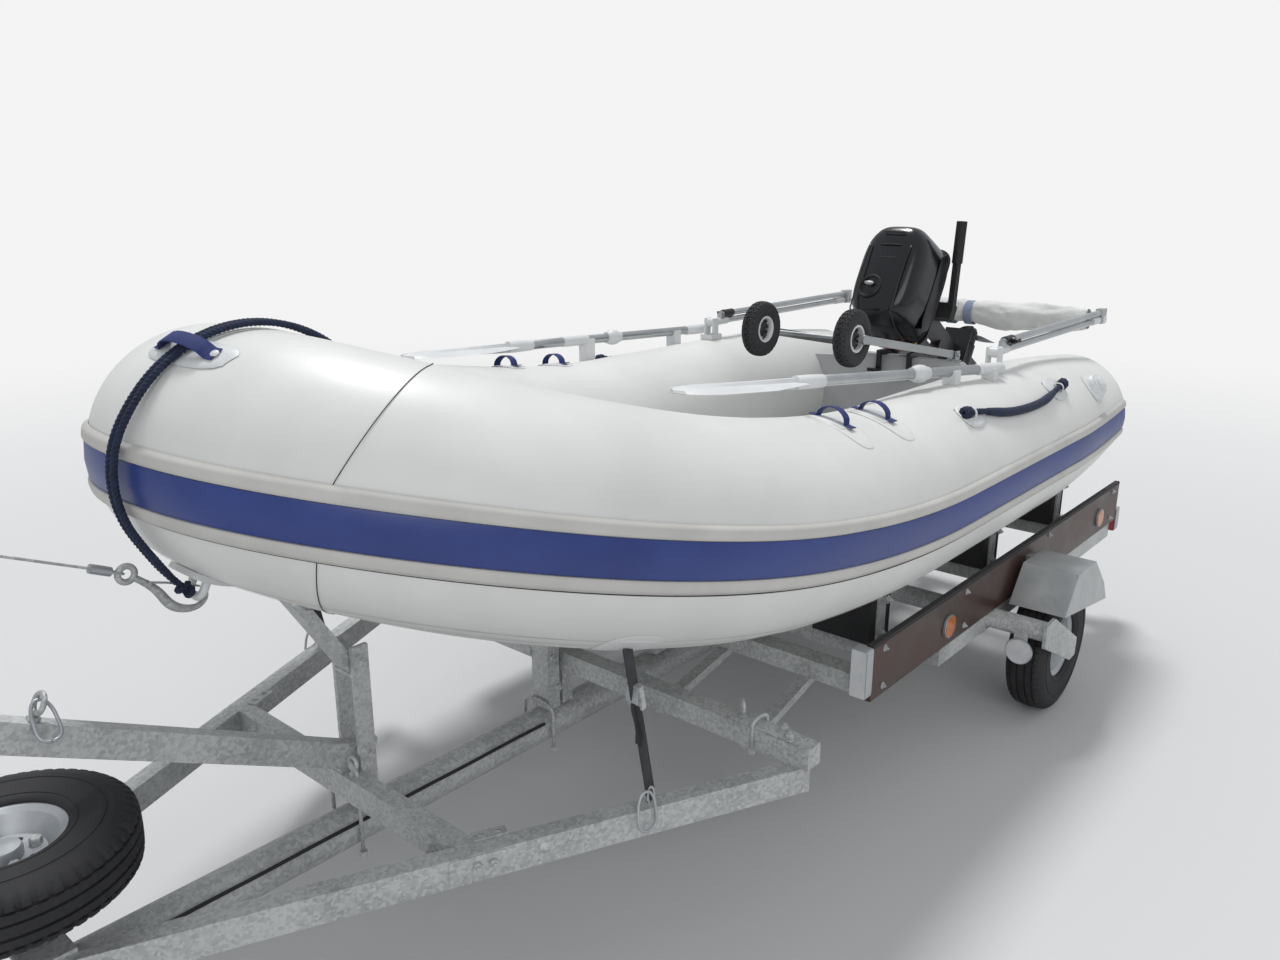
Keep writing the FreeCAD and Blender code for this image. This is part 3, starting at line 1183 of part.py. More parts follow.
def road_wheel(name, centre, axis, bore):
    """A tyre and its pressed rim with a ring of vent holes."""
    seat = "Sizes.rim_radius"
    half = "Sizes.wheel_width / 2"
    outer = "Sizes.wheel_radius"
    rim = turned("rim_body_" + name, [
        (bore, "-8"), (seat + " - 40", "-8"), (seat + " - 16", "-%s * 0.66" % half),
        (seat + " - 4", "-%s * 0.7" % half), (seat + " + 12", "-%s * 0.8" % half),
        (seat + " + 12", "-%s * 0.74" % half), (seat + " - Sizes.skin_gap", "-%s * 0.7" % half),
        (seat + " - Sizes.skin_gap", "%s * 0.7" % half), (seat + " + 12", "%s * 0.74" % half),
        (seat + " + 12", "%s * 0.8" % half), (seat + " - 4", "%s * 0.7" % half),
        (seat + " - 14", "%s * 0.6" % half), (seat + " - 36", "4"), (bore, "4")])
    drawn = drawn_on(rim, "XY_Plane", "vent_" + name)
    drawn.addGeometry(Part.Circle(V(size("rim_radius") - 53, 0, 0), V(0, 0, 1), 7))
    drawn.addConstraint(Sketcher.Constraint("PointOnObject", 0, 3, -1))
    spot = drawn.addConstraint(Sketcher.Constraint("DistanceX", -1, 1, 0, 3, size("rim_radius") - 53))
    drawn.setExpression("Constraints[%d]" % spot, seat + " - 53")
    drawn.addConstraint(Sketcher.Constraint("Radius", 0, 7))
    vent = rim.newObject("PartDesign::Pocket", "vent_hole_" + name)
    vent.Profile = drawn
    vent.SideType = "Symmetric"
    vent.Length = 40
    pattern(rim, vent, RIM_HOLES, "vents_" + name)
    profile = [(seat, half + " * 0.72"), (seat + " + 24", half + " * 0.92"), (outer + " - 50", half),
               (outer + " - 16", half + " * 0.86"), (outer + " - 3", half + " * 0.55")]
    profile += [(outer, "0")] + [(across, "-" + along) for across, along in reversed(profile)]
    tyre = turned("tyre_body_" + name, profile)
    for made in (rim, tyre):
        made.Placement = FreeCAD.Placement(centre, FreeCAD.Rotation(V(0, 0, 1), axis))
    seated = doc.addObject("Part::Cut", "tyre_seated_" + name)
    seated.Base = tyre
    seated.Tool = rim
    node(seated, "tyre_" + name)
    node(rim, "rim_" + name)


def wheels():
    """Road wheels and the spare on the drawbar."""
    for name, side in (("port", 1), ("starboard", -1)):
        road_wheel(name, V(size("axle_x"), side * wheel_y, size("wheel_radius")), V(0, side, 0), "14.3")
    road_wheel("spare", V(size("spare_x"), 0, size("spare_height")), V(0, 0, 1), "20")


def lamps():
    """Front position lamps, side reflectors and tail lamps."""
    y = board_face
    gap = size("skin_gap")
    board_top = size("board_base") + size("board_tall")
    reflector_z = size("board_base") + size("board_tall") / 2 - 16
    front = size("frame_front") + gap
    rear = size("frame_rear") - gap
    white = both_sides(block(front, front + 34, y - 40, y, size("board_base") + 20, board_top - 5))
    white += both_sides(Part.makeCylinder(
        37, 9, V(size("beam_x") + 28 + gap, REFLECTOR_Y, size("beam_height") - REFLECTOR_DROP), V(1, 0, 0)))
    amber = []
    for x in (size("reflector_front"), size("reflector_rear")):
        amber += both_sides(Part.makeCylinder(30, 9, V(x, y + gap, reflector_z), V(0, 1, 0)))
    red = both_sides(block(rear - 46, rear, y - 90, y, size("rail_base") + 26,
                           size("member_base") + 30))
    shape("lamp_white", Part.makeCompound(white))
    shape("lamp_amber", Part.makeCompound(amber))
    shape("lamp_red", Part.makeCompound(red))


CABLE_ROUTE = [
    (2080, 34.8, 386), (1960, 35, 386), (1850, 35, 386), (1800, 34, 386), (1700, 30, 310),
    (1600, 42, 262), (1480, 43, 261), (1350, 42, 262), (1220, 43, 261), (1090, 42, 262),
    (960, 43, 261), (830, 42, 262), (700, 43, 261), (570, 42, 262), (440, 43, 261),
]


def trailer_cable():
    """Lamp cable along the drawbar and spine."""
    points = [V(*point) for point in CABLE_ROUTE]
    shape("lamp_cable", bent_tube(points, 4, name="lamp cable"))


def tie_straps(clear):
    """Webbing from the patch on the tube's lower side to the drawbar rail."""
    station, angle = LOOP_PATCHES[2][:2]
    strap = bar(on_tube(station, angle, 1), V(665, 592, draw_top + 5.7), 25, 3, V(0, 1, 0))
    patch = curved_patch(station, angle, 90, 90, 3.3 + size("patch_seat"), 0)
    shape("tie_straps", Part.makeCompound(both_sides(strap.cut(clear + [patch]))))


tube_chambers()
tube_clear = both_sides(side_loft(size("skin_gap")))
strake(tube_clear)
rigid_hull(tube_clear)
transom(tube_clear)
tube_fittings(tube_clear)
webbing()
grab_line()
oars()
painter()
bimini()
launching_wheels()
motor()
trailer_frame()
bow_posts(tube_supports(tube_clear))
winch_gear()
coupling()
jockey()
axle_beam()
fenders()
wheels()
lamps()
trailer_cable()
tie_straps(tube_clear)

doc.recompute()
os.makedirs("parts", exist_ok=True)
box_all = FreeCAD.BoundBox()
for obj in NODES:
    if "Invalid" in obj.State or "Error" in obj.State:
        raise RuntimeError("%s did not compute" % obj.Label)
    if obj.Shape.isNull() or not obj.Shape.isValid():
        raise RuntimeError("%s has no valid shape" % obj.Label)
    box_all.add(obj.Shape.BoundBox)
for obj in NODES:
    obj.Shape.exportStep("parts/%s.step" % obj.Label)
    print(obj.Label, len(obj.Shape.Solids), "solids", round(obj.Shape.Volume / 1e6, 3), "litres")
print("extent X", round(box_all.XMin), round(box_all.XMax), "Y", round(box_all.YMin),
      round(box_all.YMax), "Z", round(box_all.ZMin), round(box_all.ZMax), len(NODES), "nodes")
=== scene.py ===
# %% [markdown]
# # An inflatable boat on its road trailer
# The CAD model already holds every rigid part at its right place. This script dresses it: the air
# tubes, ropes, cloth and moulded parts are built again with more detail, and each surface gets its
# own procedural finish.

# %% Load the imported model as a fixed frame
import bpy
import bmesh
import json
import math
from mathutils import Matrix, Vector, noise


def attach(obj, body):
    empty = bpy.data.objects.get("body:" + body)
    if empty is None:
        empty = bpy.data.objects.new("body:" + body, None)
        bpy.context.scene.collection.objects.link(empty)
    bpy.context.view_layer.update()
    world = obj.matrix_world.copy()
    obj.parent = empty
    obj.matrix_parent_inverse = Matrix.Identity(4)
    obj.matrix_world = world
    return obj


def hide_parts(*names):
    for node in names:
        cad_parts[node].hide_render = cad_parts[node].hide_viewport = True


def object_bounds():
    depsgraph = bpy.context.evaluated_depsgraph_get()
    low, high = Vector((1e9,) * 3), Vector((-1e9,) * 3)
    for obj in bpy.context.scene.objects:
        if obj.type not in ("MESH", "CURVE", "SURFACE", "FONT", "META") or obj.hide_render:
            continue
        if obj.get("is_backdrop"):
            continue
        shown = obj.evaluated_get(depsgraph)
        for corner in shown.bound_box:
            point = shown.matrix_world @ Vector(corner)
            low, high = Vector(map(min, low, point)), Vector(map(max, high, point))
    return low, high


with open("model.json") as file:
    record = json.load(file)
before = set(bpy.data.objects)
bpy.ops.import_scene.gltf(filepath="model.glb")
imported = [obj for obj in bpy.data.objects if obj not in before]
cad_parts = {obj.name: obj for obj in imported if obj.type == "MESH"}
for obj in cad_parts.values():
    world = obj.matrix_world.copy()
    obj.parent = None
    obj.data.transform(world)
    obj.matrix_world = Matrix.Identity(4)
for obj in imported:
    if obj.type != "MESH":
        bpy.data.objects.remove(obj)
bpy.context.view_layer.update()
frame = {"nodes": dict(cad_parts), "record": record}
nodes = frame["nodes"]
print("loaded", len(nodes), "CAD nodes")

# %% [markdown]
# ## Camera
# The photo was taken at eye height, a little above the tubes, from off the port bow. The camera
# stands at that place in metres and its lens gives the same field of view.

# %% Camera at the photo's place
EYE = Vector((2.080, 1.780, 1.600))
LOOK = Vector((-0.728, -0.627, -0.277))
LENS, SENSOR = 28.97, 36.0


def aimed(name, data, toward, place=(0, 0, 0)):
    """A camera or lamp at a place, looking one way."""
    obj = bpy.data.objects.new(name, data)
    obj.location = place
    obj.rotation_euler = Vector(toward).to_track_quat("-Z", "Y").to_euler()
    bpy.context.scene.collection.objects.link(obj)
    return obj


lens = bpy.data.cameras.new("boat_camera")
lens.lens, lens.sensor_width = LENS, SENSOR
bpy.context.scene.camera = aimed("boat_camera", lens, LOOK, EYE)
print("camera at", tuple(round(v, 2) for v in EYE))

# %% [markdown]
# ## Node groups for effects that several finishes share
# A node group is a small recipe with named inputs and outputs. Building each effect once keeps the
# materials short, and every material can still use its own scale and strength. A table of nodes
# and a list of joints say all there is to say, so one function wires them all.


# %% Wire nodes from a table
def wire(tree, table, joints, **made):
    """Adds the nodes of a table with their values, then joins sockets (from, out, to, in)."""
    for tag, (kind, values) in table.items():
        made[tag] = tree.nodes.new("ShaderNode" + kind)
        for key, value in values.items():
            if isinstance(key, int) or key in made[tag].inputs:
                made[tag].inputs[key].default_value = value
            else:
                setattr(made[tag], key, value)
    for source, output, target, entry in joints:
        tree.links.new(made[source].outputs[output], made[target].inputs[entry])


FLOAT, COLOUR, VECTOR = "NodeSocketFloat", "NodeSocketColor", "NodeSocketVector"


def group(name, inputs, outputs, table, joints):
    """A shader node group; each input has a label, a kind and a default value."""
    tree = bpy.data.node_groups.new(name, "ShaderNodeTree")
    for label, kind, value in inputs:
        socket = tree.interface.new_socket(name=label, in_out="INPUT", socket_type=kind)
        if value is not None:
            socket.default_value = value
    for label, kind in outputs:
        tree.interface.new_socket(name=label, in_out="OUTPUT", socket_type=kind)
    wire(tree, table, joints, start=tree.nodes.new("NodeGroupInput"),
         end=tree.nodes.new("NodeGroupOutput"))
    print("group", name)
    return tree


def place_inputs(scale, *greys):
    """The inputs every group has: where, how fine, and two tones if it mixes them."""
    return [("Vector", VECTOR, None), ("Scale", FLOAT, scale)] + [
        (label, COLOUR, (grey, grey, grey, 1)) for label, grey in zip(("Low", "High"), greys)]


TONES = [("Color", COLOUR), ("Tone", FLOAT)]
MIXED = [("start", "Low", "mix", 6), ("start", "High", "mix", 7), ("mix", 2, "end", "Color")]

# %% [markdown]
# Most surfaces aren't one even colour: dust, age and handling leave soft clouds. A noise mixes two
# tones and also puts out its value, so that the same clouds can change the roughness.

# %% Clouded colour
CLOUDED = group(
    "Clouded colour", place_inputs(4.0, 0.5, 0.6), TONES,
    {"cloud": ("TexNoise", {"Detail": 6, "Roughness": 0.6}),
     "spread": ("MapRange", {"From Min": 0.32, "From Max": 0.68}),
     "mix": ("Mix", {"data_type": "RGBA"})},
    [("start", "Vector", "cloud", "Vector"), ("start", "Scale", "cloud", "Scale"),
     ("cloud", "Fac", "spread", "Value"), ("spread", "Result", "mix", 0),
     ("spread", "Result", "end", "Tone")] + MIXED)

# %% [markdown]
# Zinc cools into large flat crystals after hot dipping. A Voronoi texture gives each cell its own
# shade, and a fine noise dulls them as weather does.

# %% Zinc crystals
SPANGLED = group(
    "Zinc crystals", place_inputs(60.0, 0.3, 0.5), TONES,
    {"cells": ("TexVoronoi", {}), "grey": ("SeparateColor", {}),
     "stain": ("TexNoise", {"Scale": 5, "Detail": 8}),
     "blend": ("Math", {"operation": "MULTIPLY_ADD", 1: 0.45}),
     "ramp": ("MapRange", {"From Min": 0.4, "From Max": 0.95}),
     "mix": ("Mix", {"data_type": "RGBA"})},
    [("start", "Vector", "cells", "Vector"), ("start", "Scale", "cells", "Scale"),
     ("start", "Vector", "stain", "Vector"), ("cells", "Color", "grey", "Color"),
     ("grey", "Red", "blend", 0), ("stain", "Fac", "blend", 2), ("blend", "Value", "ramp", "Value"),
     ("ramp", "Result", "mix", 0), ("ramp", "Result", "end", "Tone")] + MIXED)

# %% [markdown]
# Woven and braided things show a small crossed relief. Two wave textures at right angles make the
# warp and the weft, and the higher of the two is the thread on top. Moulded things only have a
# fine grain.

# %% Weave relief and fine grain
WEAVE = group(
    "Weave", place_inputs(200.0), [("Height", FLOAT)],
    {"warp": ("TexWave", {"bands_direction": "X", "Distortion": 1.0}),
     "weft": ("TexWave", {"bands_direction": "Z", "Distortion": 1.0}),
     "top": ("Math", {"operation": "MAXIMUM"})},
    [("start", socket, thread, socket) for thread in ("warp", "weft")
     for socket in ("Vector", "Scale")]
    + [("warp", "Fac", "top", 0), ("weft", "Fac", "top", 1), ("top", "Value", "end", "Height")])
GRAIN = group(
    "Fine grain", place_inputs(400.0), [("Height", FLOAT)],
    {"grain": ("TexNoise", {"Detail": 3})},
    [("start", "Vector", "grain", "Vector"), ("start", "Scale", "grain", "Scale"),
     ("grain", "Fac", "end", "Height")])

# %% [markdown]
# ## Finishes
# Each finish names its two tones, how rough it is where it is clean and where it is dull, and the
# relief of its surface. The shader itself stays in the material.

# %% Table of finishes
# name: low tone and high tone as the eye sees them (0 to 255), scale of the clouds, roughness
# range, metallic, relief, relief scale, relief depth in metres, coat.
FINISHES = {
    "tube_fabric": ((216, 216, 213), (228, 228, 225), 2.2, (0.34, 0.46), 0, GRAIN, 900, 0.0002, 0),
    "strake_rubber": ((186, 184, 180), (202, 200, 195), 5, (0.45, 0.6), 0, GRAIN, 500, 0.0003, 0),
    "stripe_blue": ((36, 54, 118), (48, 68, 136), 3, (0.3, 0.42), 0, GRAIN, 700, 0.0002, 0),
    "hull_gelcoat": ((205, 206, 204), (218, 219, 217), 3, (0.2, 0.35), 0, GRAIN, 60, 0.0001, 0.3),
    "deck_grey": ((150, 152, 153), (168, 170, 170), 5, (0.5, 0.7), 0, GRAIN, 300, 0.001, 0),
    "transom_board": ((170, 172, 173), (188, 189, 189), 4, (0.35, 0.5), 0, GRAIN, 300, 0.0002, 0),
    "fitting_white": ((205, 207, 208), (222, 223, 223), 6, (0.35, 0.5), 0, GRAIN, 500, 0.0002, 0),
    "webbing_blue": ((24, 38, 96), (34, 52, 118), 30, (0.6, 0.8), 0, WEAVE, 260, 0.0008, 0),
    "rope_navy": ((18, 26, 48), (40, 54, 86), 60, (0.6, 0.85), 0, WEAVE, 300, 0.0012, 0),
    "rope_grey": ((112, 116, 118), (158, 162, 163), 90, (0.4, 0.6), 0.7, WEAVE, 500, 0.0012, 0),
    "oar_alloy": ((176, 179, 181), (200, 202, 203), 8, (0.28, 0.42), 0.9, GRAIN, 800, 0.0001, 0),
    "bimini_alloy": ((186, 189, 191), (206, 208, 209), 8, (0.25, 0.4), 0.9, GRAIN, 800, 0.0001, 0),
    "canvas_white": ((212, 213, 210), (232, 232, 229), 7, (0.7, 0.85), 0, WEAVE, 500, 0.0006, 0),
    "leg_alloy": ((160, 163, 165), (184, 187, 188), 8, (0.3, 0.45), 0.9, GRAIN, 800, 0.0001, 0),
    "small_tyre": ((34, 34, 36), (54, 54, 56), 12, (0.6, 0.8), 0, GRAIN, 500, 0.0005, 0),
    "motor_black": ((17, 17, 20), (27, 27, 31), 9, (0.3, 0.45), 0, GRAIN, 400, 0.0002, 0.1),
    "cowl_black": ((9, 11, 16), (15, 17, 23), 5, (0.16, 0.24), 0, GRAIN, 40, 0.0001, 0.15),
    "engine_iron": ((60, 60, 63), (92, 92, 95), 12, (0.5, 0.7), 0.7, GRAIN, 200, 0.0008, 0),
    "prop_black": ((24, 24, 27), (46, 46, 50), 14, (0.3, 0.5), 0, GRAIN, 300, 0.0002, 0.1),
    "grip_black": ((20, 20, 22), (34, 34, 36), 12, (0.6, 0.75), 0, GRAIN, 500, 0.0004, 0),
    "galvanised": ((158, 160, 160), (200, 202, 201), 150, (0.45, 0.65), 0.35, GRAIN, 300, 0.0003, 0),
    "board_brown": ((52, 34, 28), (74, 50, 41), 6, (0.35, 0.55), 0, GRAIN, 200, 0.0003, 0.1),
    "pad_rubber": ((28, 28, 30), (44, 44, 46), 14, (0.6, 0.8), 0, GRAIN, 400, 0.0005, 0),
    "pad_foil": ((170, 173, 175), (212, 214, 215), 30, (0.18, 0.4), 0.95, GRAIN, 50, 0.004, 0),
    "fender_alloy": ((170, 173, 174), (198, 200, 200), 10, (0.35, 0.5), 0.85, GRAIN, 500, 0.0001, 0),
    "road_tyre": ((26, 26, 28), (46, 46, 47), 16, (0.65, 0.85), 0, GRAIN, 500, 0.0005, 0),
    "rim_silver": ((160, 164, 168), (188, 191, 194), 9, (0.3, 0.5), 0.6, GRAIN, 300, 0.0002, 0),
    "lens_white": ((214, 216, 218), (232, 233, 234), 20, (0.1, 0.2), 0, WEAVE, 260, 0.0012, 0.5),
    "lens_amber": ((196, 104, 28), (222, 130, 44), 20, (0.1, 0.2), 0, WEAVE, 260, 0.0012, 0.5),
    "lens_red": ((140, 18, 18), (176, 28, 24), 20, (0.1, 0.2), 0, WEAVE, 260, 0.0012, 0.5),
    "hose_red": ((150, 24, 26), (184, 38, 38), 20, (0.25, 0.4), 0, GRAIN, 300, 0.0002, 0.3),
    "brass": ((150, 118, 62), (182, 148, 84), 14, (0.25, 0.4), 0.9, GRAIN, 300, 0.0002, 0),
    "band_blue": ((118, 130, 160), (146, 156, 182), 30, (0.7, 0.85), 0, WEAVE, 400, 0.0006, 0),
    "cable_black": ((24, 24, 26), (38, 38, 40), 20, (0.5, 0.7), 0, GRAIN, 600, 0.0003, 0),
    "strap_grey": ((46, 47, 50), (70, 71, 75), 40, (0.7, 0.85), 0, WEAVE, 260, 0.0008, 0),
}
CRYSTALS = {"galvanised"}
print(len(FINISHES), "finishes in the table")


# %% Build one material from a line of the table
def seen(tone):
    """A linear colour from the numbers of a picture, 0 to 255."""
    shares = [part / 255 for part in tone]
    return (*[share / 12.92 if share <= 0.04045 else ((share + 0.055) / 1.055) ** 2.4
              for share in shares], 1.0)


def make_finish(name, low, high, scale, rough, metallic, relief, relief_scale, depth, coat):
    """A Principled material whose colour, roughness and relief come from the shared groups."""
    material = bpy.data.materials.new(name)
    material.use_nodes = True
    tree = material.node_tree
    shader = tree.nodes["Principled BSDF"]
    shader.inputs["Metallic"].default_value = metallic
    shader.inputs["Coat Weight"].default_value = coat
    recipe = SPANGLED if name in CRYSTALS else CLOUDED
    wire(tree,
         {"place": ("TexCoord", {}),
          "colour": ("Group", {"node_tree": recipe, "Scale": scale,
                               "Low": seen(low), "High": seen(high)}),
          "dull": ("MapRange", {"To Min": rough[0], "To Max": rough[1]}),
          "height": ("Group", {"node_tree": relief, "Scale": relief_scale}),
          "bump": ("Bump", {"Distance": depth, "Strength": 0.6})},
         [("place", "Object", "colour", "Vector"), ("place", "Object", "height", "Vector"),
          ("colour", "Color", "shader", "Base Color"), ("colour", "Tone", "dull", "Value"),
          ("dull", "Result", "shader", "Roughness"), ("height", "Height", "bump", "Height"),
          ("bump", "Normal", "shader", "Normal")], shader=shader)
    return material


materials = {name: make_finish(name, *line) for name, line in FINISHES.items()}
print("made", len(materials), "finishes")

# %% Give every CAD node the finish of its slot
slot_of = {part["node"]: part["material_slot"] for part in frame["record"]["subparts"]}
for name, obj in nodes.items():
    obj.data.materials.clear()
    obj.data.materials.append(materials[slot_of[name]])
print("dressed", len(nodes), "CAD nodes")

# %% [markdown]
# ## Stage
# A plain pale floor and a soft sky show the shape without a story. The floor fades out before its
# edge shows, and it still takes the shadow. The sky looks white to the camera through Light Path,
# so no extra light falls on the boat.

# %% Floor, world and lamps
FLOOR_SIZE, FADE_FROM, FADE_TO = 40, 2.6, 9.0
LAMPS = (("key_sun", 2.0, 14, (0.35, 0.35, -1.0)), ("fill_sun", 0.6, 40, (-0.7, -0.8, -0.5)))


def pale_floor():
    """A floor that mixes into the white behind it with the distance from the boat."""
    bpy.ops.mesh.primitive_plane_add(size=FLOOR_SIZE, location=(0, 0, -0.0005))
    floor = bpy.context.object
    floor.name = "studio_floor"
    floor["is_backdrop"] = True
    pale = bpy.data.materials.new("studio_floor")
    pale.use_nodes = True
    tree = pale.node_tree
    shader = tree.nodes["Principled BSDF"]
    shader.inputs["Base Color"].default_value = (0.62, 0.62, 0.62, 1)
    shader.inputs["Roughness"].default_value = 0.9
    wire(tree,
         {"place": ("TexCoord", {}), "away": ("VectorMath", {"operation": "LENGTH"}),
          "share": ("MapRange", {"interpolation_type": "SMOOTHSTEP", "From Min": FADE_FROM,
                                 "From Max": FADE_TO}),
          "clear": ("BsdfTransparent", {}), "mix": ("MixShader", {})},
         [("place", "Object", "away", 0), ("away", "Value", "share", "Value"),
          ("share", "Result", "mix", 0), ("shader", 0, "mix", 1), ("clear", 0, "mix", 2),
          ("mix", 0, "out", "Surface")], shader=shader, out=tree.nodes["Material Output"])
    floor.data.materials.append(pale)


def soft_light():
    """An even world and two soft lamps."""
    world = bpy.data.worlds.new("studio_world")
    bpy.context.scene.world = world
    world.use_nodes = True
    tree = world.node_tree
    sky = tree.nodes["Background"]
    sky.inputs["Color"].default_value = (0.93, 0.96, 1.0, 1)
    sky.inputs["Strength"].default_value = 0.55
    wire(tree,
         {"white": ("Background", {"Color": (0.9, 0.9, 0.9, 1)}), "by": ("LightPath", {}),
          "choose": ("MixShader", {})},
         [("by", "Is Camera Ray", "choose", 0), ("sky", 0, "choose", 1),
          ("white", 0, "choose", 2), ("choose", 0, "out", "Surface")],
         sky=sky, out=tree.nodes["World Output"])
    for name, strength, angle, toward in LAMPS:
        lamp = bpy.data.lights.new(name, "SUN")
        lamp.energy, lamp.angle = strength, math.radians(angle)
        aimed(name, lamp, toward)
    bpy.context.scene.view_settings.view_transform = "Standard"


pale_floor()
soft_light()
print("stage ready")

# %% [markdown]
# ## Mesh helpers
# Most pieces here are a profile carried along a line. One function joins rings of points into a
# skin, and the others only work out where the rings are. Port and starboard pieces come from the
# same numbers, and FLIP mirrors them.

# %% Turn points and faces into a piece that rides on a body
ROOT = "boat_on_trailer"
SIDES = ((1, "port"), (-1, "starboard"))
FLIP = {1: Vector((1, 1, 1)), -1: Vector((1, -1, 1))}


def piece(name, points, faces, slot, body=ROOT, replaces=(), edge=None):
    """A smooth mesh with its finish, slot and body; faces that meet at more than edge stay sharp."""
    mesh = bpy.data.meshes.new(name)
    mesh.from_pydata([tuple(p) for p in points], [], faces)
    mesh.validate()
    box = bmesh.new()
    box.from_mesh(mesh)
    bmesh.ops.recalc_face_normals(box, faces=box.faces)
    box.to_mesh(mesh)
    box.free()
    for face in mesh.polygons:
        face.use_smooth = True
    obj = bpy.data.objects.new(name, mesh)
    bpy.context.scene.collection.objects.link(obj)
    mesh.materials.append(materials[slot])
    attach(obj, body)
    if replaces:
        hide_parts(*replaces)
    if edge:
        mesh.set_sharp_from_angle(angle=math.radians(edge))
    return obj


def skin(rings, closed=True, ends=True, points=None, faces=None):
    """Faces between rings of points; closed rings meet themselves, and ends are capped."""
    points = [] if points is None else points
    faces = [] if faces is None else faces
    base, count = len(points), len(rings[0])
    for ring in rings:
        points.extend(ring)
    for row in range(len(rings) - 1):
        for col in range(count if closed else count - 1):
            a = base + row * count + col
            b = base + row * count + (col + 1) % count
            faces.append((a, b, b + count, a + count))
    if ends and closed:
        faces.append(tuple(base + col for col in range(count)))
        faces.append(tuple(base + (len(rings) - 1) * count + col for col in reversed(range(count))))
    return points, faces


def shell(name, rings, slot, body=ROOT, replaces=(), edge=None, closed=True, ends=True):
    """A piece from rings of points."""
    return piece(name, *skin(rings, closed, ends), slot, body, replaces, edge)


print("pieces of", ROOT, "can be made")


# %% Steps, circles and rings along a line
def between(first, last, count):
    """Even steps from one number to another, both ends kept."""
    return [first + (last - first) * k / count for k in range(count + 1)]


def turns(count, start=0.0):
    """Angles once round; start is a share of a step."""
    return [2 * math.pi * (k + start) / count for k in range(count)]


def bent(value, power):
    """A sine or cosine raised to a power with its sign kept, which squares a circle."""
    return math.copysign(abs(value) ** power, value)


def arms(axis):
    """An axis of length one and two directions square to it."""
    axis = Vector(axis).normalized()
    side = axis.orthogonal().normalized()
    return axis, side, axis.cross(side)


def circle(centre, a, b, size, count):
    """Points round a centre, from direction a towards b."""
    return [centre + (a * math.cos(t) + b * math.sin(t)) * size for t in turns(count)]


def loop_line(centre, a, b, size, count):
    """A circle whose last point is its first."""
    ring = circle(centre, a, b, size, count)
    return ring + ring[:1]


def ahead_at(line, index):
    """Direction of a line of points at one of them."""
    return (line[min(index + 1, len(line) - 1)] - line[max(index - 1, 0)]).normalized()


def frames_along(line):
    """Each point of a line with two directions across it, turned as little as they can be."""
    side = None
    for index, point in enumerate(line):
        ahead = ahead_at(line, index)
        side = ahead.orthogonal() if side is None else side - ahead * side.dot(ahead)
        side.normalize()
        yield point, side.copy(), ahead.cross(side)


def along_path(path, radius, sides=16):
    """Rings of a round rod that follows a line of points."""
    last = len(path) - 1
    return [circle(point, side, up, radius(index / last) if callable(radius) else radius, sides)
            for index, (point, side, up) in enumerate(frames_along(path))]


def rod(name, path, radius, slot="galvanised", body=ROOT, sides=12):
    """A bent round rod."""
    return shell(name, along_path(path, radius, sides), slot, body)


print("mesh helpers ready")

# %% [markdown]
# ## Ropes
# The mooring rope is doubled: one length goes through the bow ring and both legs lie over the bow
# and hang down inside, knotted together at the ends. A NURBS curve with the route's points gives
# its line, and each leg is three twisted strands beside that line. A smooth curve matters more
# than exact points, because rope never turns in corners.

# %% Route of the mooring rope, in metres
PAINTER_ROUTE = [
    (1.2882, 0.017, 0.8797), (1.3274, 0.020, 0.9251), (1.3657, 0.026, 0.9870),
    (1.3971, 0.030, 1.0472), (1.4080, 0.030, 1.1150), (1.3971, 0.030, 1.1828),
    (1.3640, 0.032, 1.2420), (1.3177, 0.034, 1.2948), (1.2604, 0.036, 1.3340),
    (1.1956, 0.038, 1.3576), (1.1266, 0.040, 1.3634), (1.0585, 0.044, 1.3499),
    (0.9965, 0.048, 1.3181), (0.9454, 0.052, 1.2701), (0.9094, 0.054, 1.2098),
    (0.8914, 0.056, 1.1416), (0.8910, 0.057, 1.0750), (0.8870, 0.058, 1.0100),
    (0.8900, 0.060, 0.9450), (0.8860, 0.060, 0.8800),
]
ROPE_RADIUS, LEG_GAP, ROPE_STEP, STRANDS = 0.007, 0.0165, 0.004, 3
print("mooring rope has", len(PAINTER_ROUTE), "route points")


# %% Read the smooth line, then lay strands round it
def nurbs_line(name, route):
    """Points along the NURBS curve of a route."""
    data = bpy.data.curves.new(name + "_line", "CURVE")
    data.dimensions = "3D"
    data.resolution_u = 10
    spline = data.splines.new("NURBS")
    spline.points.add(len(route) - 1)
    for spot, point in zip(spline.points, route):
        spot.co = (*point, 1)
    spline.order_u = 3
    spline.use_endpoint_u = True
    return [vertex.co.copy() for vertex in curve_mesh(name, data)[0]]


def curve_mesh(name, data):
    """Points and faces of a curve, which leaves the scene again."""
    obj = bpy.data.objects.new(name + "_line", data)
    bpy.context.scene.collection.objects.link(obj)
    mesh = bpy.data.meshes.new_from_object(obj)
    bpy.data.objects.remove(obj)
    return mesh.vertices, mesh.polygons


def even_points(line, step):
    """The same line with points a fixed distance apart."""
    spots = [line[0]]
    spare = 0.0
    for a, b in zip(line, line[1:]):
        run = (b - a).length
        place = step - spare
        while place <= run:
            spots.append(a.lerp(b, place / run))
            place += step
        spare = run - (place - step)
    return spots + [line[-1]]


def strands_round(line, radius, twist=0.026):
    """Twisted strands along a line; twist is the length of one turn."""
    points, faces = [], []
    frames = list(frames_along(line))
    thick = radius * 0.54
    for strand in range(STRANDS):
        path, place = [], 0.0
        for index, (point, side, up) in enumerate(frames):
            if index:
                place += (point - frames[index - 1][0]).length
            turn = 2 * math.pi * (strand / STRANDS + place / twist)
            path.append(point + (side * math.cos(turn) + up * math.sin(turn)) * (radius - thick))
        skin(along_path(path, thick, 8), points=points, faces=faces)
    return points, faces


